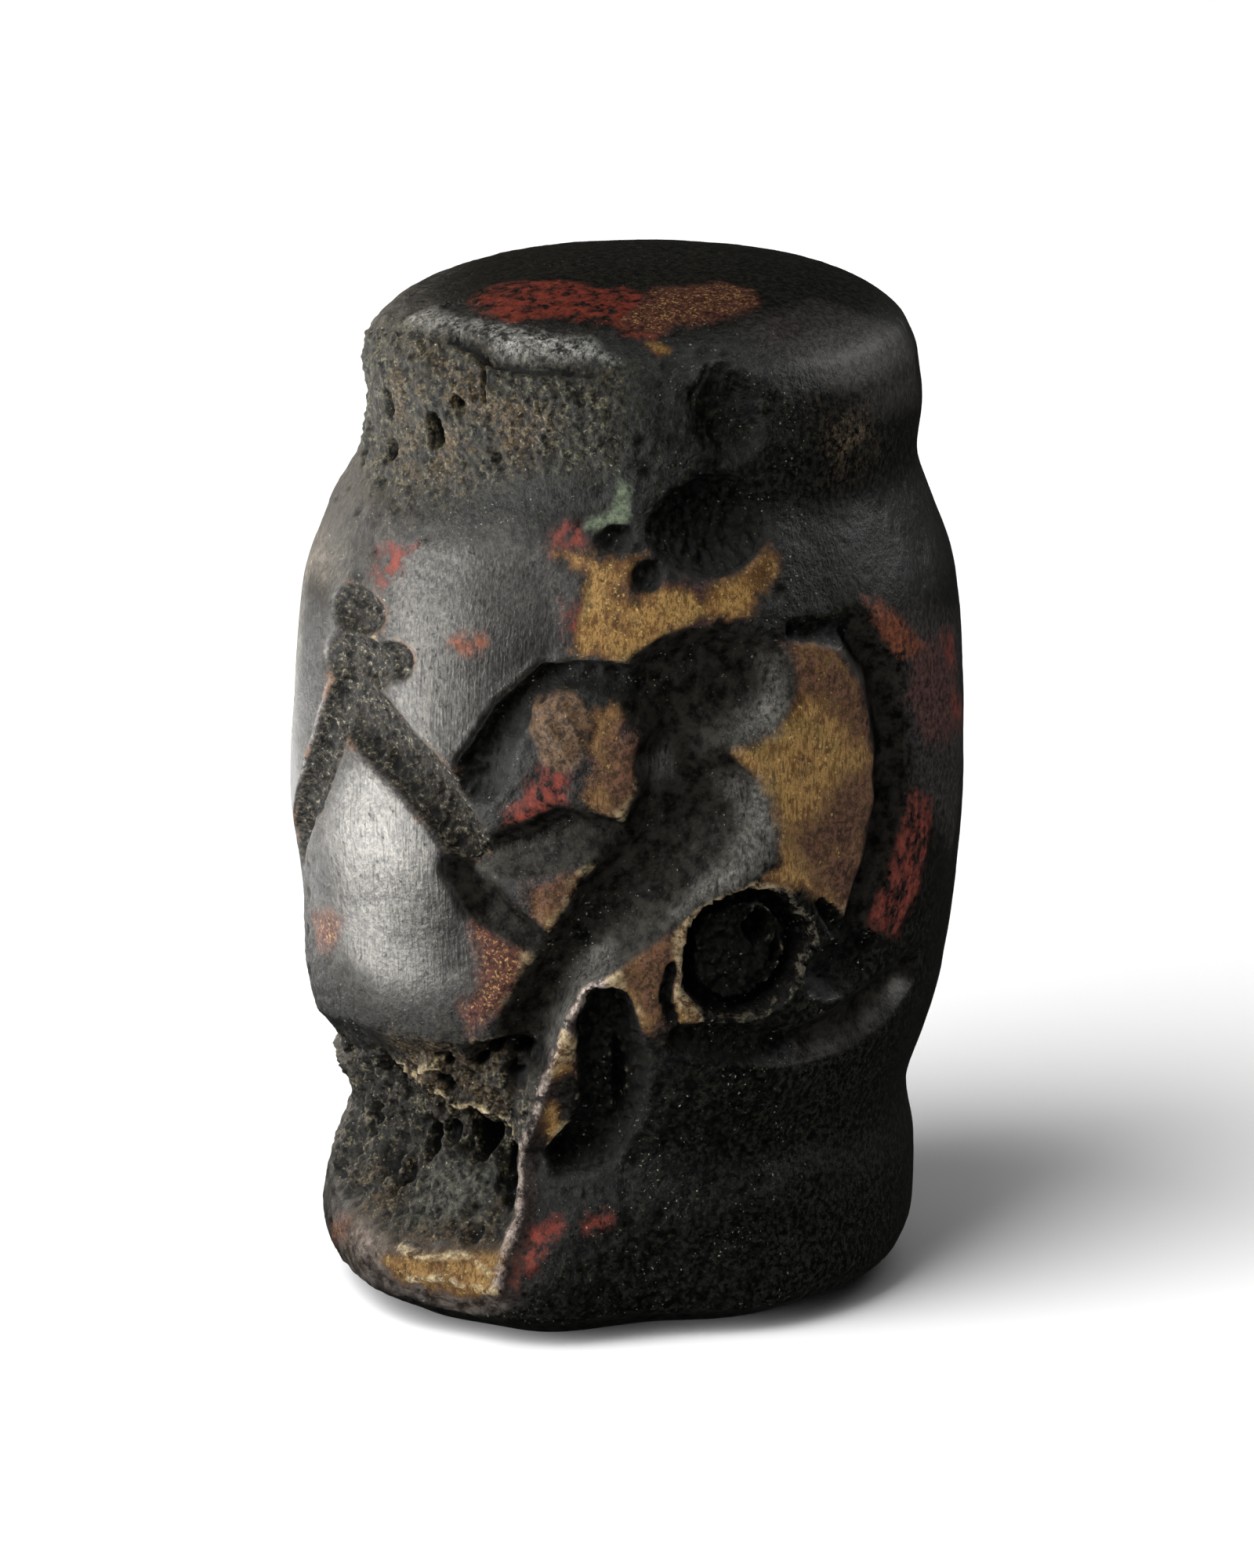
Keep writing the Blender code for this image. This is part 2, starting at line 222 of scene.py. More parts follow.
# %% [markdown]
# ## The blank
# Before it was engraved, the seal was a turned or filed barrel: foot, lower waist, belly, upper
# waist and a domed top. A turned outline can be spun, but this one leans a little and isn't quite
# round. So the lesson lays a grid over the rolled-out surface and computes where each point of it
# lies. Every place on the seal then has two plain coordinates, as on an impression in clay:
# degrees around from the front, and percent of the height.

# %% The outline
# From the foot up: percent of the height, percent of the belly's radius, and how far the axis leans
# to the right there, in percent of the belly's radius
OUTLINE = (
    (0.0, 66.0, -5.0),
    (1.2, 73.0, -5.0),
    (3.1, 85.0, -3.5),
    (6.9, 88.5, -3.0),
    (12.7, 87.0, -1.0),
    (18.5, 83.0, 0.5),
    (24.6, 89.8, -1.0),
    (30.8, 95.0, -1.0),
    (39.6, 97.5, 0.5),
    (49.2, 100.0, 0.0),
    (59.2, 99.0, 0.5),
    (69.2, 96.5, 1.0),
    (76.9, 89.0, 1.0),
    (82.7, 82.0, 3.5),
    (86.9, 81.5, 5.5),
    (90.8, 81.5, 4.0),
    (93.8, 79.0, 3.5),
    (96.3, 71.0, 3.5),
    (97.9, 59.0, 4.5),
    (98.9, 47.0, 5.5),
    (99.7, 26.0, 6.0),
    (100.0, 0.0, 6.0),
)
SQUARENESS = 2.15
SQUARE_TURN = math.radians(-20)


def smooth_through(places, values, at):
    """A curve through the stations that never swings past them, with harmonic mean slopes."""
    gaps = np.diff(places)
    slopes = np.diff(values) / gaps
    tangents = np.zeros(len(values))
    tangents[0], tangents[-1] = slopes[0], slopes[-1]
    before, after = slopes[:-1], slopes[1:]
    same_way = before * after > 0
    total = np.where(same_way, before + after, 1.0)
    tangents[1:-1] = np.where(same_way, 2 * before * after / total, 0.0)
    index = np.clip(np.searchsorted(places, at, side="right") - 1, 0, len(gaps) - 1)
    gap = gaps[index]
    t = (at - places[index]) / gap
    return (
        values[index] * (1 + 2 * t) * (1 - t) ** 2
        + values[index + 1] * t * t * (3 - 2 * t)
        + gap * tangents[index] * t * (1 - t) ** 2
        - gap * tangents[index + 1] * t * t * (1 - t)
    )


FINE_PLACES = 20001
stations, station_radii, station_leans = np.array(OUTLINE).T
fine_up = np.linspace(0, 100, FINE_PLACES)
fine_radius = smooth_through(stations, station_radii, fine_up) / 100 * BELLY_RADIUS
fine_height = fine_up / 100 * HEIGHT
fine_run = np.append(0.0, np.cumsum(np.hypot(np.diff(fine_radius), np.diff(fine_height))))
print("the outline is", round(fine_run[-1] / MM, 1), "mm long from the foot to the top")

# %% [markdown]
# ## Grids
# A grid is a set of columns and rows laid over the rolled-out surface. For each of its places it
# knows the angle, the height and the point in space. Fine detail costs points, and a piece may
# have 200,000 triangles. The skin's points are therefore spent where the photograph looks: a tenth
# of a millimetre apart over the engraved face, and more than twice that on the hidden side and the
# dome. The crusts, which are rougher, get finer grids of their own.

# %% Lay a grid
# Degrees around, spread in degrees, and how far out
FOOT_SWELLINGS = ((-17, 13, 0.50 * MM), (-44, 17, 0.50 * MM), (13, 18, -0.60 * MM))
FOOT_FULL = 1.6 * MM
FOOT_TOP = 4.6 * MM


def smooth_step(value, start, end):
    """0 up to the start, 1 from the end on, and an even curve between."""
    t = np.clip((value - start) / (end - start), 0, 1)
    return t * t * (3 - 2 * t)


def gap_around(places, centre):
    """Degrees from the centre to each place, the short way round."""
    return (places - centre + 180) % 360 - 180


def section(places):
    """How far the squared section reaches at each angle, as a share of the round one."""
    angle = np.radians(places - 90) - SQUARE_TURN
    reach = np.abs(np.cos(angle)) ** SQUARENESS + np.abs(np.sin(angle)) ** SQUARENESS
    return reach ** (-1 / SQUARENESS)


def foot_swelling(places, heights):
    """The blunt corner of the foot, the bulge beside it and the flat to its right."""
    total = 0.0
    for at, spread, out in FOOT_SWELLINGS:
        total = total + out * np.exp(-((gap_around(places, at) / spread) ** 2))
    return total * smooth_step(heights, FOOT_TOP, FOOT_FULL)


def unit(vectors):
    """The same directions, each of length 1."""
    return vectors / np.maximum(np.linalg.norm(vectors, axis=-1, keepdims=True), 1e-12)


def points_at(grid, radius):
    """Points in space for a radius given at every place of the grid."""
    lean = smooth_through(stations, station_leans, grid.up.ravel()).reshape(grid.up.shape)
    lean = lean / 100 * BELLY_RADIUS
    turn = np.radians(grid.around)
    return np.stack([radius * np.sin(turn) + lean, -radius * np.cos(turn), grid.height], axis=-1)


def lay_grid(columns, runs, step, wraps=False):
    """A grid from its columns in degrees and its rows in metres along the outline."""
    grid = SimpleNamespace(step=step, wraps=wraps)
    grid.around, grid.run = np.meshgrid(columns, runs)
    grid.height = np.interp(grid.run, fine_run, fine_height)
    grid.up = grid.height / HEIGHT * 100
    turned = np.interp(grid.run, fine_run, fine_radius)
    grid.radius = turned * section(grid.around) + foot_swelling(grid.around, grid.height)
    grid.blank = points_at(grid, grid.radius)
    beside = np.roll(grid.blank, -1, axis=1) - np.roll(grid.blank, 1, axis=1)
    if not wraps:
        beside = np.gradient(grid.blank, axis=1)
    grid.out = unit(np.cross(beside, np.gradient(grid.blank, axis=0)))
    return grid


# %% The skin's grid
FRONT_HALF = 80.0
BACK_HALF = 115.0
FRONT_STEP = 0.112 * MM
BACK_STEP = 0.26 * MM
ROW_STEP = 0.108 * MM
DOME_STEP = 0.20 * MM
DOME_STARTS = 97.5


def spread_out(start, end, step_at):
    """Places from start to end whose gaps follow the step that step_at asks for there."""
    fine = np.linspace(start, end, 2 * FINE_PLACES - 1)
    wanted = np.append(0.0, np.cumsum(np.diff(fine) / step_at((fine[1:] + fine[:-1]) / 2)))
    return np.interp(np.linspace(0, wanted[-1], round(wanted[-1]) + 1), wanted, fine)


def column_step(degrees):
    share = np.clip((np.abs(degrees) - FRONT_HALF) / (BACK_HALF - FRONT_HALF), 0, 1)
    return np.degrees((FRONT_STEP + share * (BACK_STEP - FRONT_STEP)) / BELLY_RADIUS)


def row_step(run):
    return np.where(run > run_at(DOME_STARTS), DOME_STEP, ROW_STEP)


def run_at(percent):
    return np.interp(percent, fine_up, fine_run)


skin_columns = spread_out(-180, 180, column_step)[:-1]
skin_runs = spread_out(0, fine_run[-1], row_step)[:-1]
skin_grid = lay_grid(skin_columns, skin_runs, FRONT_STEP, wraps=True)
print(len(skin_columns), "columns and", len(skin_runs), "rows")

# %% [markdown]
# ## Noise
# Corrosion has no pattern, so its lumps come from noise: random numbers fixed to the corners of an
# invisible lattice in space and smoothed between them. The numbers come from mixing each corner's
# own coordinates, so the seal is the same on every run. Because the lattice is in space and not on
# the rolled-out surface, nothing stretches on the dome and no seam shows at the back. The lattice
# is turned askew, or its straight rows would show where the surface runs along them.


# %% Noise in space
ASKEW = (0.6, 0.4, 0.9)
NOISE_TURN = np.array(Euler(ASKEW).to_matrix())
# Large odd numbers and shifts that send neighbouring cells far apart
SCATTER = (73856093, 19349663, 83492791)
SEED_SCATTER = 40503
MIXES = ((13, 1274126177), (15, 668265263))
LAST_SHIFT = 14
LOW_BITS = 0xFFFFFF
CREST_FOLD = 2.6


def random_at(cells, seed):
    """A fixed number from 0 to 1 for each cell, mixed from its three whole coordinates."""
    x, y, z = (cells[..., axis] * SCATTER[axis] for axis in range(3))
    mixed = x ^ y ^ z ^ seed * SEED_SCATTER
    for shift, factor in MIXES:
        mixed = (mixed ^ (mixed >> shift)) * factor
    return ((mixed ^ (mixed >> LAST_SHIFT)) & LOW_BITS) / LOW_BITS


def lumps(points, size, seed):
    """Smooth random heights from -1 to 1 whose lumps are about one size across."""
    place = points @ NOISE_TURN / size
    cells = np.floor(place).astype(np.int64)
    share = place - cells
    share = share * share * (3 - 2 * share)
    total = np.zeros(points.shape[:-1])
    for corner in itertools.product((0, 1), repeat=3):
        weight = np.prod(np.where(corner, share, 1 - share), axis=-1)
        total += weight * random_at(cells + np.array(corner), seed)
    return 2 * total - 1


def rubble(points, size, seed, layers=4):
    """Lumps with ever smaller lumps on them, from about -1 to 1."""
    total = sum(lumps(points, size / 2**layer, seed + layer) / 2**layer for layer in range(layers))
    return total / (2 - 2 ** (1 - layers))


def crags(points, size, seed, layers=3):
    """Like rubble, but with sharp crests: each layer is folded where it crosses zero."""
    total = sum(
        (1 - CREST_FOLD * np.abs(lumps(points, size / 2**layer, seed + layer))) / 2**layer
        for layer in range(layers)
    )
    return total / (2 - 2 ** (1 - layers))


def grains(points, size, seed):
    """How far each place lies from the nearest of a scatter of grains, in grain sizes."""
    place = points @ NOISE_TURN / size
    cells = np.floor(place).astype(np.int64)
    nearest = np.full(points.shape[:-1], np.inf)
    for step in itertools.product((-1, 0, 1), repeat=3):
        cell = cells + np.array(step)
        centre = cell + np.stack([random_at(cell, seed + axis) for axis in range(3)], axis=-1)
        nearest = np.minimum(nearest, np.linalg.norm(place - centre, axis=-1))
    return nearest


def add_wander(grid):
    """Two slow noises that make drawn edges waver."""
    grid.wander = rubble(grid.blank, 1.6 * MM, 11)
    grid.waver = rubble(grid.blank, 0.55 * MM, 23)


add_wander(skin_grid)
print("the noise runs from", *np.round([skin_grid.wander.min(), skin_grid.wander.max()], 2))

# %% [markdown]
# ## The engraving
# The engraver used three kinds of cut. A round drill leaves an oval bowl, a tubular drill leaves a
# channel about a standing core, and a graver leaves a groove that swells and tapers. The figures
# are put together from these: a large horned animal, and a small figure of two dots over two
# spread legs. The cuts lie where they lie in the solid. Here their walls are steeper and their
# edges waver, as old cuts do where corrosion has nibbled at them.

# %% The cuts
# A groove's path runs through (around, up, width). Its deepest line lies in the middle at 0, at
# its right-hand edge at 1 and at its left-hand edge at -1, seen along its run. Sizes are in
# millimetres.
Hollow = namedtuple("Hollow", "around up half_width half_height depth")
Ring = namedtuple("Ring", "around up radius channel depth core_depth")
Groove = namedtuple("Groove", "depth deepest path")

SMOOTH_CUTS = (
    Hollow(13.5, 65.8, 2.30, 1.50, 0.95),
    Groove(0.90, 0.35, (
        (10.5, 62, 1.9), (8.5, 58.5, 2.0), (12, 54.5, 3.2), (8, 49.5, 3.0), (-0.5, 45, 2.4),
        (-7.5, 40.5, 1.8), (-12.5, 37, 1.6), (-16.5, 33, 1.7), (-19, 29.5, 1.4),
    )),
    Groove(0.60, -0.35, ((-29, 47.5, 0.7), (-20, 49.5, 1.3), (-10.5, 51.3, 1.6), (-2, 51.5, 0.9))),
    Groove(0.55, 0.3, ((-29, 47.5, 0.9), (-24.5, 44.5, 1.2), (-16, 41, 0.6))),
    Groove(0.55, -0.3, (
        (31, 29.5, 0.9), (37.5, 30, 1.1), (44, 30.5, 1.3), (54, 32, 1.3), (64, 34, 0.9),
    )),
    Groove(0.60, -0.35, (
        (41, 69.5, 0.8), (47.5, 65, 1.2), (50.5, 58, 1.3), (50, 52.5, 1.2), (46.5, 47, 1.0),
        (41.5, 41, 0.7),
    )),
)
ROUGH_CUTS = (
    Hollow(15, 80.5, 1.85, 1.30, 0.75),
    Hollow(-3.5, 79.5, 0.60, 0.40, 0.30),
    Hollow(3, 76, 0.50, 0.45, 0.30),
    Groove(0.45, 0, ((0, 66.5, 1.0), (-8, 67, 0.8), (-14.5, 66.5, 0.8))),
    Groove(0.50, 0.2, ((-14.5, 66.5, 0.8), (-21, 62.5, 1.0), (-26.5, 56.5, 1.4))),
    Ring(20.5, 39.8, 1.72, 0.50, 0.95, 0.62),
    Hollow(24, 42, 0.50, 0.62, 1.30),
    Hollow(28, 39, 0.28, 0.45, 1.00),
    Groove(0.25, 0, ((7, 39, 0.35), (6.5, 36, 0.45), (8, 33.5, 0.40))),
    Hollow(39.5, 37, 1.20, 0.90, 0.40),
    Groove(0.35, 0, ((34, 44, 0.35), (39, 40.5, 0.70), (46, 38.5, 0.70))),
    Groove(0.75, 0.2, (
        (-3.5, 35, 1.3), (-2, 30, 1.9), (-2.5, 24.5, 1.9), (-6.5, 20.5, 1.6), (-14, 18.5, 1.0),
    )),
    Groove(0.40, 0, ((10, 31.5, 0.8), (20, 31, 1.2), (31, 29.5, 0.9))),
    Groove(0.30, 0, ((29, 70.5, 0.5), (41, 69.5, 0.8))),
)
FIGURE_CUTS = (
    Hollow(-56, 70, 1.15, 0.65, 0.50),
    Hollow(-54.5, 65.2, 1.50, 0.80, 0.50),
    Hollow(-45, 66.3, 0.70, 0.50, 0.40),
    Groove(0.50, 0.2, ((-57, 62.5, 1.3), (-62, 56.5, 1.4), (-67, 51, 1.4), (-78, 44.5, 1.2))),
    Groove(0.55, 0.3, ((-54, 61.5, 1.8), (-44, 58.3, 1.8), (-35.5, 55, 1.5), (-28, 50.5, 1.2))),
)
BACK_CUTS = (
    Hollow(133, 73, 1.00, 0.75, 0.55),
    Hollow(151, 60.5, 1.60, 1.25, 0.80),
    Hollow(186, 57, 1.45, 1.35, 0.75),
    Groove(0.60, 0.2, ((151, 60, 1.9), (168, 57.5, 1.7), (186, 57.5, 1.9))),
    Groove(0.50, 0, ((147, 63, 1.3), (135, 71, 0.9))),
    Groove(0.35, 0, ((134, 75, 0.7), (142, 79.5, 0.6), (152, 79, 0.4))),
    Groove(0.45, 0, ((148, 57, 1.0), (137, 50.5, 0.8), (143, 43.5, 0.6))),
    Groove(0.45, 0, ((155, 56, 1.0), (152, 47, 0.8), (159, 41, 0.6))),
    Groove(0.45, 0, ((187, 54, 1.1), (196, 47, 0.9), (187, 40, 0.6))),
    Groove(0.35, 0, ((194, 59, 0.6), (203, 60, 0.6), (207, 55, 0.4))),
    Groove(0.40, 0, ((213, 75, 0.4), (217, 70.5, 0.9), (226, 70, 0.9), (231, 74, 0.4))),
    Hollow(226, 60, 0.95, 0.95, 0.45),
    Groove(0.40, 0, ((105, 67, 0.5), (105, 40, 0.9))),
    *(
        Groove(0.35, 0, ((105, foot, 0.55), (105 + side * 9, foot + 6, 0.55)))
        for foot in (50, 59)
        for side in (-1, 1)
    ),
)
LOSSES = (
    Hollow(-48, 18.5, 4.4, 2.8, 0.60),
    Groove(0.35, 0.3, (
        (-110, 24, 0.4), (-76, 25, 1.4), (-60, 26, 1.6), (-40, 26.5, 1.6), (-24, 28, 1.2),
    )),
    Hollow(18, 90.8, 1.10, 1.25, 0.50),
)
print("the engraver made", len(SMOOTH_CUTS + ROUGH_CUTS + FIGURE_CUTS + BACK_CUTS), "cuts")

# %% [markdown]
# Each cut is a depth at every place of the grid, and the deepest cut wins. The walls follow a
# power curve: 2 would be a round bowl, and more gives a steeper wall about a flatter floor. A
# graver was held aslant, so the short side of a groove is steep and the long side is gentle.


# %% The depth of a cut
DRILL_WALL = 3.2
GRAVER_WALL = 3.0
EDGE_WAVER = 0.14
RING_WAVER = 0.22


def bowl(share, power):
    """A hollow of depth 1 that ends where the share is 1 or -1."""
    return np.clip(1 - np.abs(share) ** power, 0, None)


def offsets(grid, at_around, at_up):
    """Millimetres across and up from one place on the rolled-out surface, with wavering edges."""
    across = np.radians(gap_around(grid.around, at_around)) * BELLY_RADIUS / MM
    rise = (grid.up - at_up) / 100 * HEIGHT / MM
    return across + EDGE_WAVER * grid.waver, rise + EDGE_WAVER * grid.wander


def beside(across, rise, run_across, run_rise):
    """How far along a straight run each place lies, from 0 to 1, and what then separates them."""
    along = np.clip((across * run_across + rise * run_rise) / (run_across**2 + run_rise**2), 0, 1)
    return along, across - along * run_across, rise - along * run_rise


def stretches(grid, path):
    """For each straight stretch of a path: its ends, its run in millimetres, what beside says."""
    for start, end in zip(path, path[1:]):
        run_across = math.radians(end[0] - start[0]) * BELLY_RADIUS / MM
        run_rise = (end[1] - start[1]) / 100 * HEIGHT / MM
        place = offsets(grid, start[0], start[1])
        yield start, end, (run_across, run_rise), beside(*place, run_across, run_rise)


def hollow_depth(grid, cut):
    across, rise = offsets(grid, cut.around, cut.up)
    share = np.hypot(across / cut.half_width, rise / cut.half_height)
    return cut.depth * bowl(share, DRILL_WALL)


def ring_depth(grid, cut):
    across, rise = offsets(grid, cut.around, cut.up)
    distance = np.hypot(across, rise) + RING_WAVER * grid.wander
    middle = cut.radius - cut.channel / 2
    channel = cut.depth * bowl((distance - middle) / (cut.channel / 2), DRILL_WALL)
    return np.maximum(channel, np.where(distance < middle, cut.core_depth, 0.0))


def groove_depth(grid, cut):
    depth = np.zeros(grid.around.shape)
    for start, end, (run_across, run_rise), place in stretches(grid, cut.path):
        along, off_across, off_rise = place
        half = (start[2] + along * (end[2] - start[2])) / 2 * math.hypot(run_across, run_rise)
        rightward = (off_across * run_rise - off_rise * run_across) / half
        beyond = (off_across * run_across + off_rise * run_rise) / half
        right_side = rightward > cut.deepest
        wall = np.where(right_side, 1 - cut.deepest, 1 + cut.deepest)
        power = GRAVER_WALL * (1 + np.where(right_side, cut.deepest, -cut.deepest))
        share = np.hypot((rightward - cut.deepest) / wall, beyond)
        depth = np.maximum(depth, cut.depth * bowl(share, power))
    return depth


def deepest(grid, cuts):
    ways = {Hollow: hollow_depth, Ring: ring_depth, Groove: groove_depth}
    return np.max([ways[type(cut)](grid, cut) for cut in cuts], axis=0)


# %% [markdown]
# Two thousand years have rounded the lips of the smooth cuts. A blur does that: each place takes
# the average of its surroundings, and near places count more. The rough cuts keep their nibbled
# edges.


# %% Carve the grid
CUT_WEAR = 0.40


def blurred(grid, values, reach):
    """The average of each place's surroundings, out to the reach in millimetres."""
    steps = max(1, round(reach * MM / grid.step))
    weights = np.exp(-((np.arange(-steps, steps + 1) / (0.5 * steps)) ** 2))
    weights /= weights.sum()
    wide = np.pad(values, ((0, 0), (steps, steps)), mode="wrap" if grid.wraps else "edge")
    wide = sum(weight * wide[:, at : at + values.shape[1]] for at, weight in enumerate(weights))
    tall = np.pad(wide, ((steps, steps), (0, 0)), mode="edge")
    return sum(weight * tall[at : at + values.shape[0]] for at, weight in enumerate(weights))


def carve(grid):
    """The depth of the cuts of each kind, and of all of them with the losses."""
    grid.smooth_cut = blurred(grid, deepest(grid, SMOOTH_CUTS), CUT_WEAR)
    grid.figure_cut = deepest(grid, FIGURE_CUTS)
    grid.rough_cut = np.maximum(deepest(grid, ROUGH_CUTS + BACK_CUTS), grid.figure_cut)
    cuts = [grid.smooth_cut, grid.rough_cut, deepest(grid, LOSSES)]
    grid.cut = np.max(cuts, axis=0) * (grid.height > 0)


carve(skin_grid)
print("the deepest cut is", round(skin_grid.cut.max(), 2), "mm")

# %% [markdown]
# ## Patches
# The skin is a map. Rubbing has bared grey metal on the left of the belly, the engraver's high
# ground shines gold-brown where the patina has flaked, red copper oxide shows around those flakes,
# and crust fills the waists. Each patch is drawn as an outline on the rolled-out surface. What the
# finish needs isn't the outline itself, but how deep inside it each place lies, in millimetres:
# the finish can then blur or fray the edge as it likes.

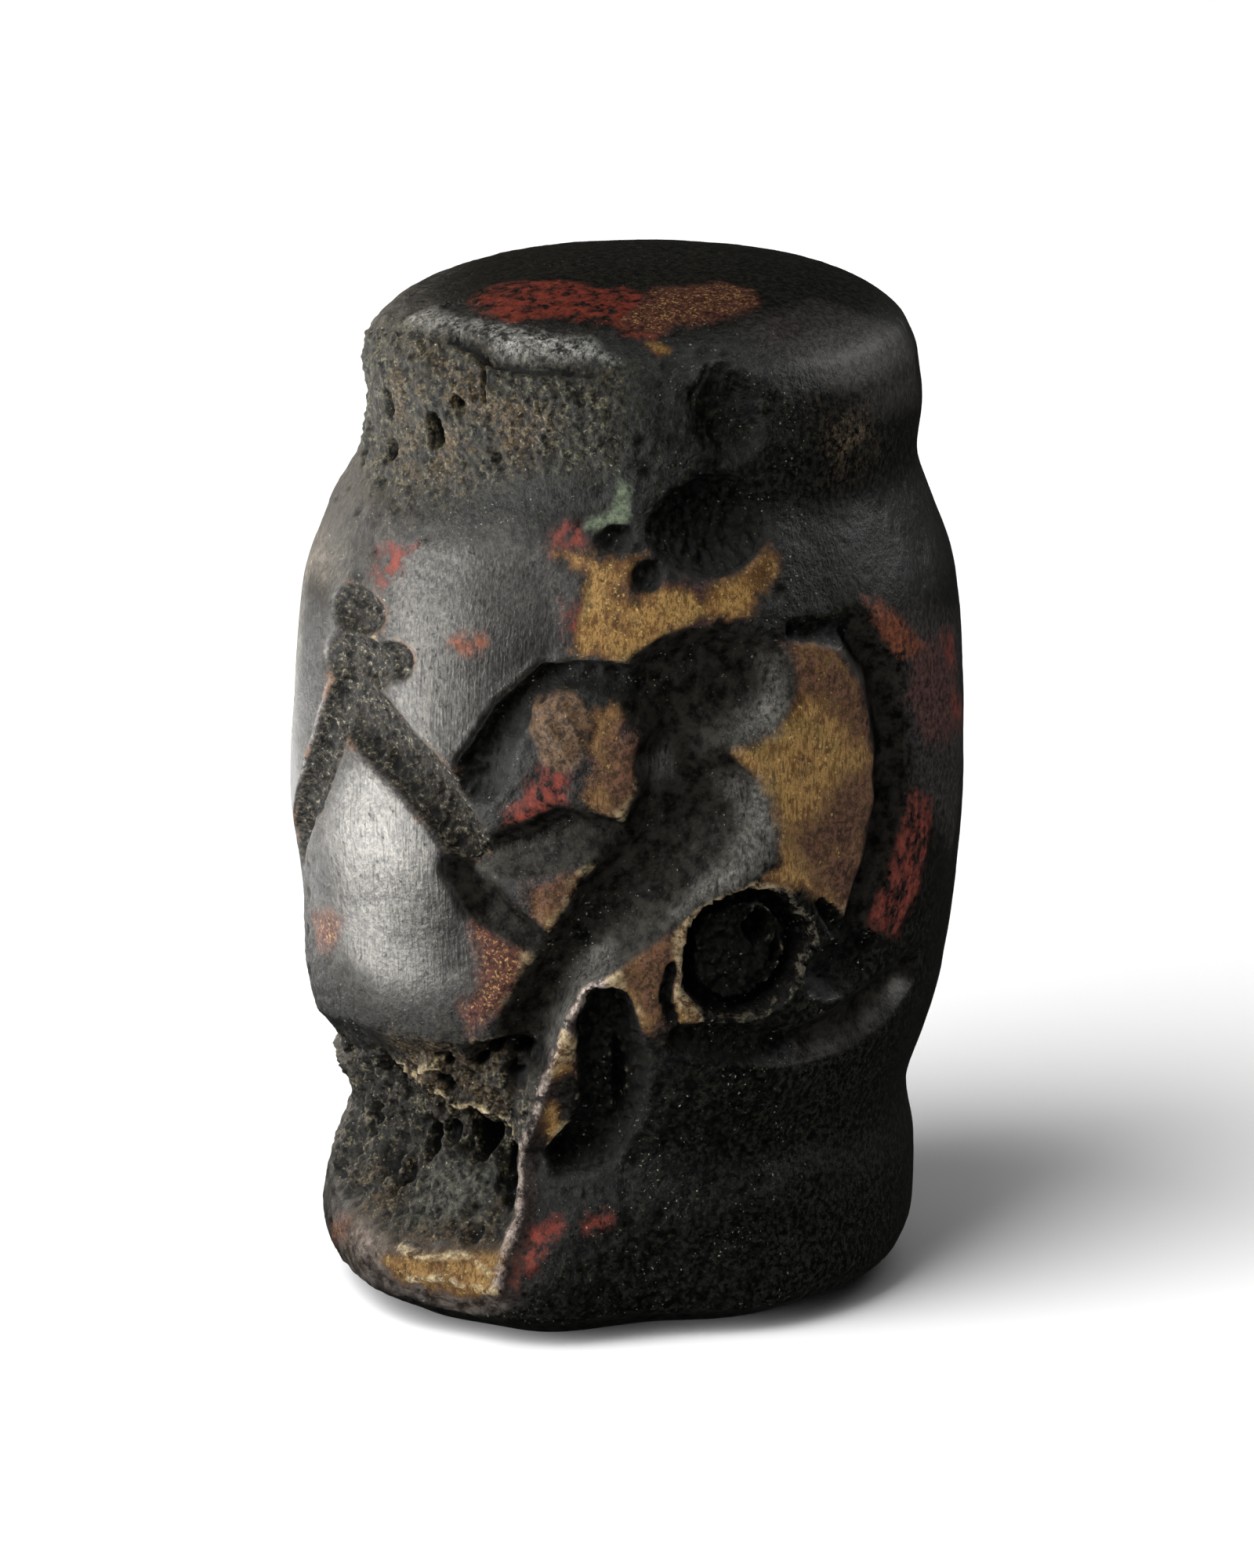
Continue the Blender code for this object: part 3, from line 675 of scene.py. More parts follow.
# %% Patch outlines
# Each outline runs through (degrees around, percent up)
PATCHES = {
    "silver": (
        ((-50.5, 76.5), (-39.5, 78), (-26, 78.5), (-17.5, 77), (-13, 74.5), (-11.5, 69.5),
         (-16, 68), (-22.5, 64), (-28, 59), (-30, 57.5), (-41, 61.5), (-44.5, 63), (-41, 67),
         (-46, 69), (-50, 73)),
        ((-49.5, 57), (-43.5, 54.5), (-36.5, 53), (-32, 51), (-29.5, 48.5), (-31.5, 46),
         (-28, 43.5), (-28.5, 40.5), (-27.5, 38.5), (-30, 36.5), (-37, 34.5), (-49.5, 34),
         (-61, 36), (-70, 39), (-73.5, 41), (-67, 45.5), (-57.5, 52.5)),
        ((-91, 74), (-76, 75), (-66, 73), (-63, 70), (-64.5, 66), (-62, 62.5), (-67, 56),
         (-73, 50), (-83, 44), (-93, 43), (-104, 47), (-99, 53), (-108, 59), (-101, 66),
         (-104, 71)),
    ),
    # Walls that face the lamps, and a strip far left: partly polish, partly painted sheen
    "polish_and_painted_sheen": (
        ((23, 68.5), (27.5, 68.8), (28.5, 66), (27.5, 63.5), (25, 61.2), (18, 60.2), (16, 61.4),
         (21, 63), (24, 65)),
        ((15, 57), (19, 57.8), (22.5, 57), (25.5, 52.5), (24.5, 49.2), (19, 46.8), (8, 44),
         (12, 46.8), (17.5, 49.5), (19.5, 53)),
        ((-92, 73), (-78, 73), (-77, 64), (-79, 55), (-84, 48), (-94, 46), (-98, 53), (-102, 59),
         (-97, 66)),
        ((2, 58.5), (6.5, 60), (8.5, 57.5), (4.5, 56)),
        ((-2, 39), (-8, 36), (-13, 30), (-15, 31), (-9, 39), (-4, 41)),
    ),
    "gold": (
        ((-15.5, 78.5), (-8, 78), (-5.5, 77.5), (-1.5, 78), (3, 78.5), (3.5, 77.5), (1, 76.5),
         (-0.5, 75.5), (0, 74.5), (4, 74.5), (6, 75.5), (7.5, 75.5), (10.5, 75), (13, 74.5),
         (15, 75.5), (18.5, 76), (21.5, 77), (25.5, 78), (27, 78.5), (28, 77.5), (28, 76),
         (25.5, 74.5), (23, 74), (21.5, 72.5), (18.5, 72), (15, 72.5), (12, 72.5), (9.5, 71.5),
         (8, 70), (6, 70), (3, 69), (-1, 68), (-6, 69), (-9.5, 68.5), (-11, 69.5), (-10, 71.5),
         (-8.5, 73.5), (-9, 76), (-12.5, 77)),
        ((15, 59.5), (18.5, 60), (21.5, 60.5), (25, 61), (27, 63), (28.5, 64.5), (29, 66.5),
         (28, 68.5), (28.5, 69.5), (32, 69.5), (35, 69), (39.5, 66.5), (42, 64.5), (43.5, 62),
         (44.5, 59), (47, 56), (47.5, 55), (45, 53), (43.5, 50), (42.5, 47), (40, 45), (39.5, 41),
         (37, 42), (35, 43.5), (32.5, 44.5), (26.5, 46.5), (23, 47.5), (21, 47), (24.5, 48),
         (26, 49), (25, 52.5), (24, 55), (22, 56), (19.5, 57), (17.5, 58)),
        ((-3, 38), (0, 40.5), (5, 41.5), (9, 43), (13, 44.5), (17, 45.5), (21, 46.5), (25, 46.5),
         (19.5, 46), (13, 43), (10, 41), (8.5, 38.5), (10, 35.5), (12.5, 33.5), (10, 33),
         (7, 33.5), (4.5, 32.5), (1.5, 33.5), (-1.5, 35.5)),
        ((-6.5, 64), (-2, 65), (-1.5, 62), (1.5, 59.5), (2.5, 58), (2.5, 55.5), (0.5, 53),
         (-1, 52.5), (-4, 53.5), (-7, 54.5), (-7.5, 56), (-5, 58.5), (-7, 60.5)),
        ((-17, 46.5), (-13.5, 47), (-8.5, 48.5), (-5.5, 49), (-7, 46.5), (-10, 45), (-12, 43),
         (-14, 42), (-15.5, 43), (-16.5, 44.5)),
        ((1.5, 97), (5.5, 97), (8, 96.5), (7, 96), (4, 96)),
        ((-48.5, 7), (-40.5, 8.5), (-33, 9.5), (-26, 10), (-21, 10.5), (-20, 8.5), (-23, 5.5),
         (-28.5, 4.5), (-36.5, 5), (-44.5, 5)),
        ((-11, 32.5), (-9, 31.5), (-9, 27.5), (-13, 28), (-11.5, 31)),
        ((-14.5, 25), (-12.5, 25), (-12, 21.5), (-10.5, 20.5), (-13.5, 19), (-16.5, 20),
         (-17, 21.5)),
    ),
    "red": (
        ((-17, 80), (-11, 80.5), (-9.5, 79), (-11, 78.5), (-14.5, 78), (-17, 78.5)),
        ((-11.5, 73.5), (-7, 74), (-5.5, 72.5), (-7.5, 69.5), (-11, 70), (-12, 71.5)),
        ((4.5, 37.5), (6.5, 37.5), (6.5, 35), (5.5, 33.5), (4, 35)),
        ((-21.5, 52), (-21, 53.5), (-18.5, 55.5), (-15, 58.5), (-11.5, 58), (-10, 57), (-11, 55),
         (-13.5, 53.5), (-17.5, 52.5)),
        ((57, 52.5), (63, 51), (65, 48), (60.5, 45), (58.5, 41), (54, 38.5), (46.5, 40),
         (44.5, 41.5), (48, 43.5), (52, 47.5), (54.5, 50.5)),
        ((76, 59.5), (84, 58), (84.5, 55), (74.5, 57)),
        ((70.5, 66.5), (77.5, 65.5), (81, 61.5), (73, 62.5)),
        ((-58, 98), (-44.5, 97.5), (-34.5, 97.5), (-27.5, 98), (-13.5, 98), (-4.5, 97.5), (3, 97),
         (5, 97.5), (6, 98.5), (0, 99.3), (-7.5, 99.5), (-50, 99.5), (-69, 99)),
        ((-54.5, 76), (-49.5, 77), (-45, 77), (-46.5, 75.5), (-47.5, 74), (-50, 73), (-53, 73)),
        ((-21, 10.5), (-17, 12), (-13.5, 13), (-11, 13), (-13.5, 10.5), (-15, 8.5), (-17.5, 6.5),
         (-21, 6)),
        ((-8.5, 13), (-4.5, 13.5), (-2.5, 12.5), (-4, 12), (-7.5, 12)),
    ),
    "pink": (
        ((-28, 43.5), (-24.5, 42.5), (-21, 41), (-17, 40.5), (-17, 39), (-19, 36.5), (-22.5, 34),
         (-26.5, 32), (-28.5, 30.5), (-29.5, 32.5), (-31.5, 34), (-27.5, 35.5), (-27, 38),
         (-28.5, 40.5)),
        ((-9, 98), (3, 97.2), (9.5, 98), (19, 98), (29, 98.3), (40, 98.6), (48, 99.2), (44, 99.6),
         (2, 99.6)),
        ((-52.5, 69), (-49.5, 69), (-49.5, 68), (-52, 68)),
        ((-74.5, 38), (-62, 40), (-58, 39.5), (-61, 36.5), (-69, 34.5)),
        ((-71.5, 7.5), (-61, 9), (-61.5, 6.5), (-77.5, 3.5)),
    ),
    "orange": (
        ((45.5, 72), (49.5, 71.5), (53.5, 69.5), (58, 67.5), (62, 66), (56.5, 65.5), (52.5, 66),
         (48.5, 68.5)),
        ((-33, 69), (-31, 70), (-28.5, 69.5), (-26.5, 70), (-26, 69), (-29, 68), (-32, 68.5)),
    ),
    "purple": (
        ((6, 75.5), (14, 75.5), (13.5, 71.5), (8.5, 71.5), (6.5, 73)),
        ((58, 66.5), (77.5, 65), (79.5, 59.5), (75.5, 55), (61.5, 56.5), (56, 61.5)),
    ),
    "green": (
        ((-5.5, 85.5), (-3, 84), (-1.5, 81.5), (-2.5, 80.5), (-7.5, 80), (-10.5, 80.5), (-8, 81.5),
         (-5.5, 82.5)),
    ),
    "rim": (
        ((-67.5, 97), (-46, 97), (-32, 97), (-11, 96.5), (-5, 95.5), (-15, 95.5), (-32, 95),
         (-39.5, 96.5), (-49.5, 96), (-59, 95.5), (-73.5, 93.5)),
    ),
    # A lighter grey-purple on the right: a painted sheen
    "painted_sheen": (
        ((30.5, 98), (63.5, 98), (72.5, 95.5), (84.5, 92.5), (80.5, 88), (57, 89), (43, 93),
         (33.5, 95.5), (26.5, 97)),
        ((56.5, 70), (86.5, 65.5), (85.5, 53), (77.5, 44), (58.5, 52), (56, 61)),
    ),
    "umber": (
        ((28, 69.5), (34.5, 68.5), (41.5, 64.5), (45, 60.5), (46.5, 58), (41, 59), (37.5, 62.5),
         (32, 64.5), (28.5, 65.5)),
        ((46.5, 56.5), (45, 52), (42.5, 47.5), (40.5, 41.5), (35.5, 44.5), (29.5, 48.5),
         (27.5, 51.5), (34, 53), (38.5, 56)),
        ((-2.5, 38.5), (3, 41.5), (9.5, 42), (8.5, 39), (10, 36), (6, 33), (2, 34.5)),
        ((-4.5, 63), (1, 61.5), (2, 56.5), (-0.5, 52.5), (-4, 54), (-6, 57.5)),
        ((-17, 46.5), (-13.5, 47), (-8.5, 48.5), (-10, 45), (-15.5, 43)),
    ),
    "ochre": (
        ((-62, 92.5), (-48, 94.5), (-30, 92.5), (-20, 90), (-24, 87), (-36, 84.5), (-50, 84),
         (-60, 82), (-67, 83), (-52, 86.5), (-63.5, 87.5)),
        ((-47, 28), (-35, 29.5), (-21, 29), (-24, 24.5), (-25.5, 21), (-40, 21), (-47, 22.5),
         (-52.5, 24.5)),
        ((-67, 11.5), (-57, 13.5), (-52.5, 11), (-59.5, 9)),
        ((-47, 10.5), (-36, 11.5), (-24, 12), (-22, 10), (-34, 9), (-46, 8.5)),
        ((40, 89.5), (51, 88), (53, 85), (44, 85.5)),
    ),
    "rock": (
        ((-47.5, 14.5), (-32, 16), (-30, 12), (-45.5, 10.5)),
    ),
    "worn_foot": (
        ((-72, 8), (-56.5, 9), (-45.5, 10.5), (-29.5, 10), (-23, 11), (-18, 10.5), (-19.5, 5),
         (-29, 3), (-45.5, 4), (-69, 3)),
    ),
    "blister": (
        ((-18, 63.5), (-17, 64.5), (-14, 65), (-12.5, 65.5), (-10, 65.5), (-8, 64.5), (-7, 63.5),
         (-7, 62), (-7.5, 60), (-9, 58.5), (-11.5, 58), (-14.5, 58.5), (-16, 60), (-17.5, 62)),
    ),
    "crust": (
        ((-96, 94), (-68, 96), (-50.5, 96), (-40, 96), (-31.5, 95), (-20, 95), (-9.5, 95),
         (-3, 95), (-5.5, 86.5), (-13.5, 85.5), (-23.5, 85), (-33, 83), (-43.5, 81), (-56, 80),
         (-75, 81), (-90, 82), (-102, 85), (-94, 89)),
    ),
    "crater": (
        ((-104, 22), (-78.5, 25), (-52, 27), (-36, 28), (-22.5, 29.5), (-14, 28), (-16.5, 24),
         (-23.5, 18.5), (-21, 12.5), (-22.5, 10), (-36.5, 9), (-49, 8.5), (-60.5, 10),
         (-77.5, 10.5), (-96, 13), (-108, 17)),
    ),
}

# %% [markdown]
# On the dome, a percent of the height is a long way along the surface. Distances are therefore
# measured along the outline's run and not up the axis.

# %% How deep inside a patch
PATCH_LIMIT = 2.0
DIRT_STARTS = 0.05
DIRT_FULL = 0.5


def inside_by(grid, outline):
    """Millimetres in from the outline's edge at every place, and less than 0 outside it."""
    corners = [(math.radians(a) * BELLY_RADIUS / MM, run_at(up) / MM) for a, up in outline]
    lowest = np.min(corners, axis=0) - PATCH_LIMIT
    highest = np.max(corners, axis=0) + PATCH_LIMIT
    across, run = np.radians(grid.around) * BELLY_RADIUS / MM, grid.run / MM
    near_columns = (across[0] > lowest[0]) & (across[0] < highest[0])
    near_rows = (run[:, 0] > lowest[1]) & (run[:, 0] < highest[1])
    near = np.ix_(near_rows, near_columns)
    x, y = across[near], run[near]
    nearest = np.full(x.shape, PATCH_LIMIT)
    inside = np.zeros(x.shape, bool)
    for (x0, y0), (x1, y1) in zip(corners, corners[1:] + corners[:1]):
        run_x, run_y = x1 - x0, y1 - y0
        _, off_x, off_y = beside(x - x0, y - y0, run_x, run_y)
        nearest = np.minimum(nearest, np.hypot(off_x, off_y))
        if y0 != y1:
            inside ^= ((y0 > y) != (y1 > y)) & (x < x0 + (y - y0) * run_x / run_y)
    depth = np.full(across.shape, -PATCH_LIMIT)
    depth[near] = np.where(inside, nearest, -nearest)
    return depth


def find_patches(grid):
    """The depth inside each patch. Packed dirt lies wherever a rough cut is more than a scratch."""
    grid.patch = {
        name: np.max([inside_by(grid, outline) for outline in outlines], axis=0)
        for name, outlines in PATCHES.items()
    }
    grid.patch["dirt"] = 2 * (np.minimum(grid.rough_cut, DIRT_FULL) - DIRT_STARTS)


find_patches(skin_grid)
for name, depth in skin_grid.patch.items():
    print(name, "covers", round(100 * float((depth > 0).mean()), 1), "% of the grid")

# %% [markdown]
# ## Cracks, ridges and pits
# Some marks are thin: cracks where the crust shrank, ridges where a wall between two hollows
# stayed up and was rubbed bright, with a painted highlight on the crest, ledges in the eaten
# metal, and soft rolls along the rim and the foot. They are drawn as lines, and what counts is the
# distance to the line. A pit where a grain fell out is a hollow.

# %% Thin marks
# A mark stands out by its height in millimetres, or sinks by it if that is negative
Mark = namedtuple("Mark", "height half_width path")
CRACKS = (
    Mark(-0.30, 0.13, ((-47.5, 96), (-39, 95.5), (-33, 94.5), (-22, 94.5), (-9.5, 94.5))),
    Mark(-0.30, 0.10, ((-36, 95), (-34.5, 93.2), (-34, 91.5))),
    Mark(-0.25, 0.12, ((14, 95), (10.5, 93), (10.5, 90), (12.5, 87.5))),
    Mark(-0.35, 0.25, ((-30, 27.5), (-23.5, 30.5), (-17, 29.3))),
)
RIDGES = (
    Mark(0.28, 0.60, ((-2.5, 38), (-7.5, 36.5), (-11, 31), (-14, 28), (-16.5, 24), (-20, 21))),
    Mark(0.28, 0.50, ((-20, 21), (-22.5, 19.5), (-23, 16.5), (-20, 13), (-21.5, 9.5), (-21, 6.5))),
)
LEDGES = (
    Mark(0.18, 0.30, (
        (-50, 25.5), (-46, 24.5), (-38, 22), (-33, 22.5), (-27, 20.5), (-22.5, 19.5),
    )),
    Mark(0.22, 0.22, ((-43, 26.2), (-38, 27.2))),
    Mark(0.12, 0.20, ((-44, 8.6), (-38, 8.0), (-30, 8.6), (-23, 7.6))),
    Mark(0.12, 0.20, ((-41, 5.6), (-34, 6.3), (-27, 5.6), (-21, 6.4))),
)
ROLLS = (
    Mark(0.10, 0.30, ((-45, 96.4), (-38, 96.6), (-31, 96.2), (-25, 96.0))),
    Mark(0.12, 0.9, ((-66, 96.6), (-40.5, 96.8), (-25, 96.6), (-10, 96.3))),
    Mark(0.10, 0.9, ((14, 12), (28, 14.5), (40, 16))),
)
PITS = (
    Hollow(-48.5, 87.5, 0.35, 0.50, 0.55),
    Hollow(-64.5, 88.5, 0.40, 0.45, 0.40),
    Hollow(-63.5, 84.0, 0.35, 0.35, 0.40),
    Hollow(-76.0, 83.5, 0.50, 0.50, 0.30),
    Hollow(-41.0, 90.5, 0.25, 0.35, 0.30),
    Hollow(-72.0, 23.5, 0.45, 0.85, 0.85),
    Hollow(-57.0, 23.0, 0.38, 0.60, 0.50),
    Hollow(-70.0, 17.5, 0.40, 0.50, 0.65),
    Hollow(-50.0, 17.5, 0.45, 0.60, 0.75),
    Hollow(-35.5, 19.3, 0.50, 0.70, 0.70),
    Hollow(-27.5, 17.5, 0.32, 0.90, 0.60),
    Hollow(-38.5, 24.5, 0.40, 0.45, 0.40),
    Hollow(-24.5, 29.3, 0.75, 0.40, 0.60),
    Hollow(-54.0, 13.5, 0.35, 0.55, 0.50),
    Hollow(-44.0, 18.5, 0.35, 0.35, 0.45),
    Hollow(-30.0, 10.5, 0.35, 0.30, 0.30),
    Hollow(-1.5, 27.0, 0.22, 1.20, 0.45),
)


def line_distance(grid, mark):
    """Millimetres from each place to a mark's line on the rolled-out surface."""
    nearest = np.full(grid.around.shape, PATCH_LIMIT)
    for *_, (_, off_across, off_rise) in stretches(grid, mark.path):
        nearest = np.minimum(nearest, np.hypot(off_across, off_rise))
    return nearest


def marks_height(grid, marks):
    """The height of all the marks: the crest is rounded, and the flanks run out."""
    shapes = [smooth_step(line_distance(grid, mark), mark.half_width, 0) for mark in marks]
    return sum(mark.height * shape for mark, shape in zip(marks, shapes))


print(len(CRACKS), "cracks,", len(RIDGES + LEDGES + ROLLS), "raised marks and", len(PITS), "pits")

# %% [markdown]
# ## Corrosion
# Crust is mineral that grew out of the metal with soil in it: granular, with pits where grains
# fell out. The crater in the lower waist is the reverse, metal eaten away down to a spongy core
# with caves. Both are heights added to the skin along its own outward direction. First comes where
# the skin is of which kind. What was rubbed or only stained is calm, and so is the side that the
# soil spared.


# %% Kinds of surface
FOOT_ENDS, DOME_EDGE = (12, 16), (96.5, 98.5)
RIGHT_STARTS, RIGHT_ENDS = (20, 42), (130, 110)
CUT_EDGE = (0.05, 0.25)


def smoothed_patch(grid, names, ragged, start, end):
    """The strongest of some patches, each from 0 to 1 over an edge with this raggedness."""
    return np.max([smooth_step(grid.patch[name] + ragged, start, end) for name in names], axis=0)


def judge_surface(grid):
    """How much of each kind of surface every place is, from 0 to 1."""
    ragged = 0.35 * grid.wander + 0.2 * grid.waver
    crusty = smoothed_patch(grid, ["crust"], ragged, -0.5, 0.7)
    eaten = smoothed_patch(grid, ["crater"], 0.6 * ragged, -0.2, 0.4)
    blister = smoothed_patch(grid, ["blister"], 0.3 * grid.waver, -0.1, 0.5)
    rubbed = smoothed_patch(grid, ["gold", "pink"], 0.5 * ragged, -0.15, 0.25)
    rubbed = np.maximum(rubbed, smoothed_patch(grid, ["silver"], 0.8 * ragged, -0.8, 0.5))
    rubbed *= smooth_step(grid.up, *FOOT_ENDS)
    stained = smoothed_patch(grid, ["red", "purple", "orange"], ragged, -0.2, 0.3)
    dome = smooth_step(grid.up, *DOME_EDGE)
    right = smooth_step(grid.around, *RIGHT_STARTS) * smooth_step(grid.around, *RIGHT_ENDS)
    calm = np.max([0.9 * rubbed, 0.75 * stained, 0.7 * dome, 0.85 * right], axis=0)
    cuts = smooth_step(grid.rough_cut, *CUT_EDGE)
    calm += 0.6 * smooth_step(grid.smooth_cut, *CUT_EDGE)
    rough = np.max([1 - calm, cuts, crusty, eaten], axis=0)
    kinds = {"rough": rough, "cuts": cuts, "crusty": crusty, "eaten": eaten, "blister": blister}
    grid.surface = kinds


# %% [markdown]
# Then each kind gets its mixture of forms. Rounded grains of three sizes come from the distance to
# a scatter of points, and broken stone from noise. Caves and pits open where that distance is
# small.


# %% Fine relief in millimetres
SIZES = np.array([1.2, 0.70, 0.50, 0.28, 0.36, 0.20, 1.2, 0.80, 2.6, 0.9]) * MM
ROCK, COBBLE, CRAG, LUMP, PEBBLE, GRAIN, CAVE, PIT, SWELL, DIMPLE = SIZES
UPRIGHT = np.array([1.0, 1.0, 0.5])
RELIEF = {
    # How high each form stands on each kind of surface, in millimetres
    "rough": {"crags": 0.015, "lumps": 0.02, "grains": 0.03, "all": -0.02},
    "cuts": {"crags": 0.03, "pebbles": 0.15, "grains": 0.12},
    "crusty": {"rocks": 0.06, "crags": 0.02, "lumps": 0.04, "pebbles": 0.10, "grains": 0.08},
    "eaten": {
        "rocks": 0.32, "cobbles": 0.14, "lumps": 0.10, "pebbles": 0.18, "grains": 0.144,
        "all": -0.08,
    },
    "blister": {"lumps": 0.10, "pebbles": 0.10, "grains": 0.08, "all": 0.14},
}
SWELL_HEIGHT, DIMPLE_HEIGHT = 0.035, 0.012
PIT_DEPTH, CAVE_DEPTH = 0.08, 0.50
OUTLINE_CALM = 0.7


def weather(grid):
    """Adds the relief to a grid, down to about the finest detail that its step can hold."""

    def layers_from(size):
        return max(1, round(math.log2(size / grid.step)))

    judge_surface(grid)
    tall = grid.blank * UPRIGHT
    form = {
        "rocks": rubble(tall, ROCK, 31, 3),
        "cobbles": 0.5 - grains(tall, COBBLE, 35),
        "crags": crags(grid.blank, CRAG, 41, layers_from(CRAG)),
        "lumps": rubble(grid.blank, LUMP, 45, layers_from(LUMP)),
        "pebbles": 0.5 - grains(grid.blank, PEBBLE, 55),
        "grains": 0.5 - grains(grid.blank, GRAIN, 51),
        "all": 1.0,
    }
    relief = SWELL_HEIGHT * lumps(grid.blank, SWELL, 71)
    relief += DIMPLE_HEIGHT * lumps(grid.blank, DIMPLE, 81)
    for kind, heights in RELIEF.items():
        relief += grid.surface[kind] * sum(height * form[name] for name, height in heights.items())
    eaten = grid.surface["eaten"]
    pits = smooth_step(grains(grid.blank, PIT, 61), 0.30, 0.12)
    caves = smooth_step(grains(tall, CAVE, 91), 0.42, 0.20) * smooth_step(grid.wander, -0.3, 0.3)
    relief -= grid.surface["rough"] * PIT_DEPTH * pits + eaten * CAVE_DEPTH * caves
    # Round the left side only the outline of the crater shows, and it is nearly even
    relief *= 1 - OUTLINE_CALM * eaten * smooth_step(grid.around, -70, -90)
    relief += marks_height(grid, RIDGES + LEDGES + ROLLS + CRACKS) - deepest(grid, PITS)
    grid.relief = relief * smooth_step(grid.height / MM, 0.0, 0.5)


weather(skin_grid)
print("the relief runs from", *np.round([skin_grid.relief.min(), skin_grid.relief.max()], 2), "mm")

# %% [markdown]
# ## The skin as a mesh
# The radius, less the cuts, gives the carved form, and the relief then pushes each point along the
# outward direction. The foot is closed by flat rings and the top by one point. Quads between
# neighbouring rows and columns make the faces. Under the crusts the skin is sunk a little, so that
# they cover it.


# %% Build a piece from its grid
FOOT_RINGS = 12


def weathered_points(grid, lift):
    """The grid's carved and weathered points, all raised by the lift in millimetres."""
    raised = ((grid.relief + lift) * MM)[..., None] * grid.out
    points = points_at(grid, grid.radius - grid.cut * MM) + raised
    return np.clip(points, np.array(low), np.array(high))


def quads_between(rows, columns, wraps):
    """Four corners for each face of a grid of points that are counted row by row."""
    last = columns if wraps else columns - 1
    row, column = np.meshgrid(np.arange(rows - 1), np.arange(last), indexing="ij")
    below, above = row * columns, (row + 1) * columns
    after = (column + 1) % columns
    corners = [below + column, below + after, above + after, above + column]
    return np.stack(corners, axis=-1).reshape(-1, 4)


def mesh_object(name, points, faces):
    mesh = bpy.data.meshes.new(name)
    mesh.from_pydata(points, [], faces)
    mesh.shade_smooth()
    piece = bpy.data.objects.new(name, mesh)
    bpy.context.scene.collection.objects.link(piece)
    print(name, "has", sum(len(face) - 2 for face in faces), "triangles")
    return piece


def closed_skin(grid, lift):
    """The whole seal as one closed mesh, with the foot's flat below and one point on top."""
    points = weathered_points(grid, lift)
    middle = points[0].mean(axis=0)
    rings = [middle + (points[0] - middle) * ring / FOOT_RINGS for ring in range(1, FOOT_RINGS)]
    rows = np.concatenate([np.array(rings), points])
    columns = rows.shape[1]
    top = [station_leans[-1] / 100 * BELLY_RADIUS, 0, rows[-1, :, 2].mean()]
    vertices = np.concatenate([rows.reshape(-1, 3), [middle], [top]])
    ring = np.arange(columns)
    after = (ring + 1) % columns
    last = (len(rows) - 1) * columns
    foot_fan = np.stack([np.full(columns, len(vertices) - 2), after, ring], axis=-1)
    top_fan = np.stack([np.full(columns, len(vertices) - 1), last + ring, last + after], axis=-1)
    quads = quads_between(len(rows), columns, True)
    return mesh_object("seal", vertices, quads.tolist() + foot_fan.tolist() + top_fan.tolist())


# %% [markdown]
# ## Crusts and packed dirt
# Crust and the dirt packed into the drilled cuts lie on the bronze as layers of their own, so they
# are pieces of their own here, on finer grids. They follow the same form with the same relief, but
# hold detail half as large. Inside a layer's edge the skin sinks away below it, and outside it the
# layer dives under the skin. Where the two meet they are level, and the ragged line is the layer's
# edge.

# %% Layers
LAYER_STEP = 0.05 * MM
EDGE_AT = 0.35
EDGE_WAVE = 0.25
SKIN_SUNK = 0.30
LAYER_SUNK = 0.45
Layer = namedtuple("Layer", "name patch around up")
LAYERS = (
    Layer("crater_crust", "crater", (-114, -6), (5.5, 33)),
    Layer("waist_crust", "crust", (-108, 6), (77, 98)),
    Layer("figure_dirt", "dirt", (-86, -22), (42, 74)),
    Layer("head_dirt", "dirt", (-10, 31), (73, 87)),
    Layer("ring_dirt", "dirt", (8, 36), (31, 48)),
    Layer("leg_dirt", "dirt", (-21, 5), (16, 40)),
)


def cover(grid, layer):
    """Millimetres inside the layer's patch, or inside the window of its grid where that is less."""
    from_left = np.radians(gap_around(grid.around, layer.around[0])) * BELLY_RADIUS / MM
    from_right = np.radians(gap_around(layer.around[1], grid.around)) * BELLY_RADIUS / MM
    start, end = run_at(np.array(layer.up))
    from_below = (grid.run - start) / MM
    from_above = (end - grid.run) / MM
    inside = grid.patch[layer.patch] + EDGE_WAVE * grid.waver
    return np.minimum.reduce([inside, from_left, from_right, from_below, from_above])


def build_layer(layer):
    """One layer as an open mesh on a grid of its own."""
    width = math.radians(layer.around[1] - layer.around[0]) * BELLY_RADIUS
    start, end = run_at(np.array(layer.up))
    columns = np.linspace(*layer.around, round(width / LAYER_STEP))
    runs = np.linspace(start, end, round((end - start) / LAYER_STEP))
    grid = lay_grid(columns, runs, LAYER_STEP)
    for work in (add_wander, carve, find_patches, weather):
        work(grid)
    lift = -LAYER_SUNK * smooth_step(cover(grid, layer), EDGE_AT, EDGE_AT - 0.4)
    points = weathered_points(grid, lift).reshape(-1, 3)
    faces = quads_between(*grid.around.shape, False).tolist()
    return mesh_object(layer.name, points, faces), grid


covers = [smooth_step(cover(skin_grid, layer), EDGE_AT, EDGE_AT + 0.5) for layer in LAYERS]
seal = closed_skin(skin_grid, -SKIN_SUNK * np.max(covers, axis=0))
pieces = [(seal, skin_grid)] + [build_layer(layer) for layer in LAYERS]

# %% [markdown]
# ## What the finish reads
# The shader can't know how deep a cut is or where a patch ends, so each point carries those
# numbers as attributes. Painted light and shade come from the form itself: a point that stands
# above its blurred surroundings is painted lighter, as a highlight, and one that lies below them is
# painted black, as shade. A lip is such a proud point on bare metal, a crest is one in the crater,
# and the brim is what lies close about the small figure.


# %% Attributes
FORM_REACH, BRIM_REACH, GRAIN_REACH = 0.95, 0.45, 0.30


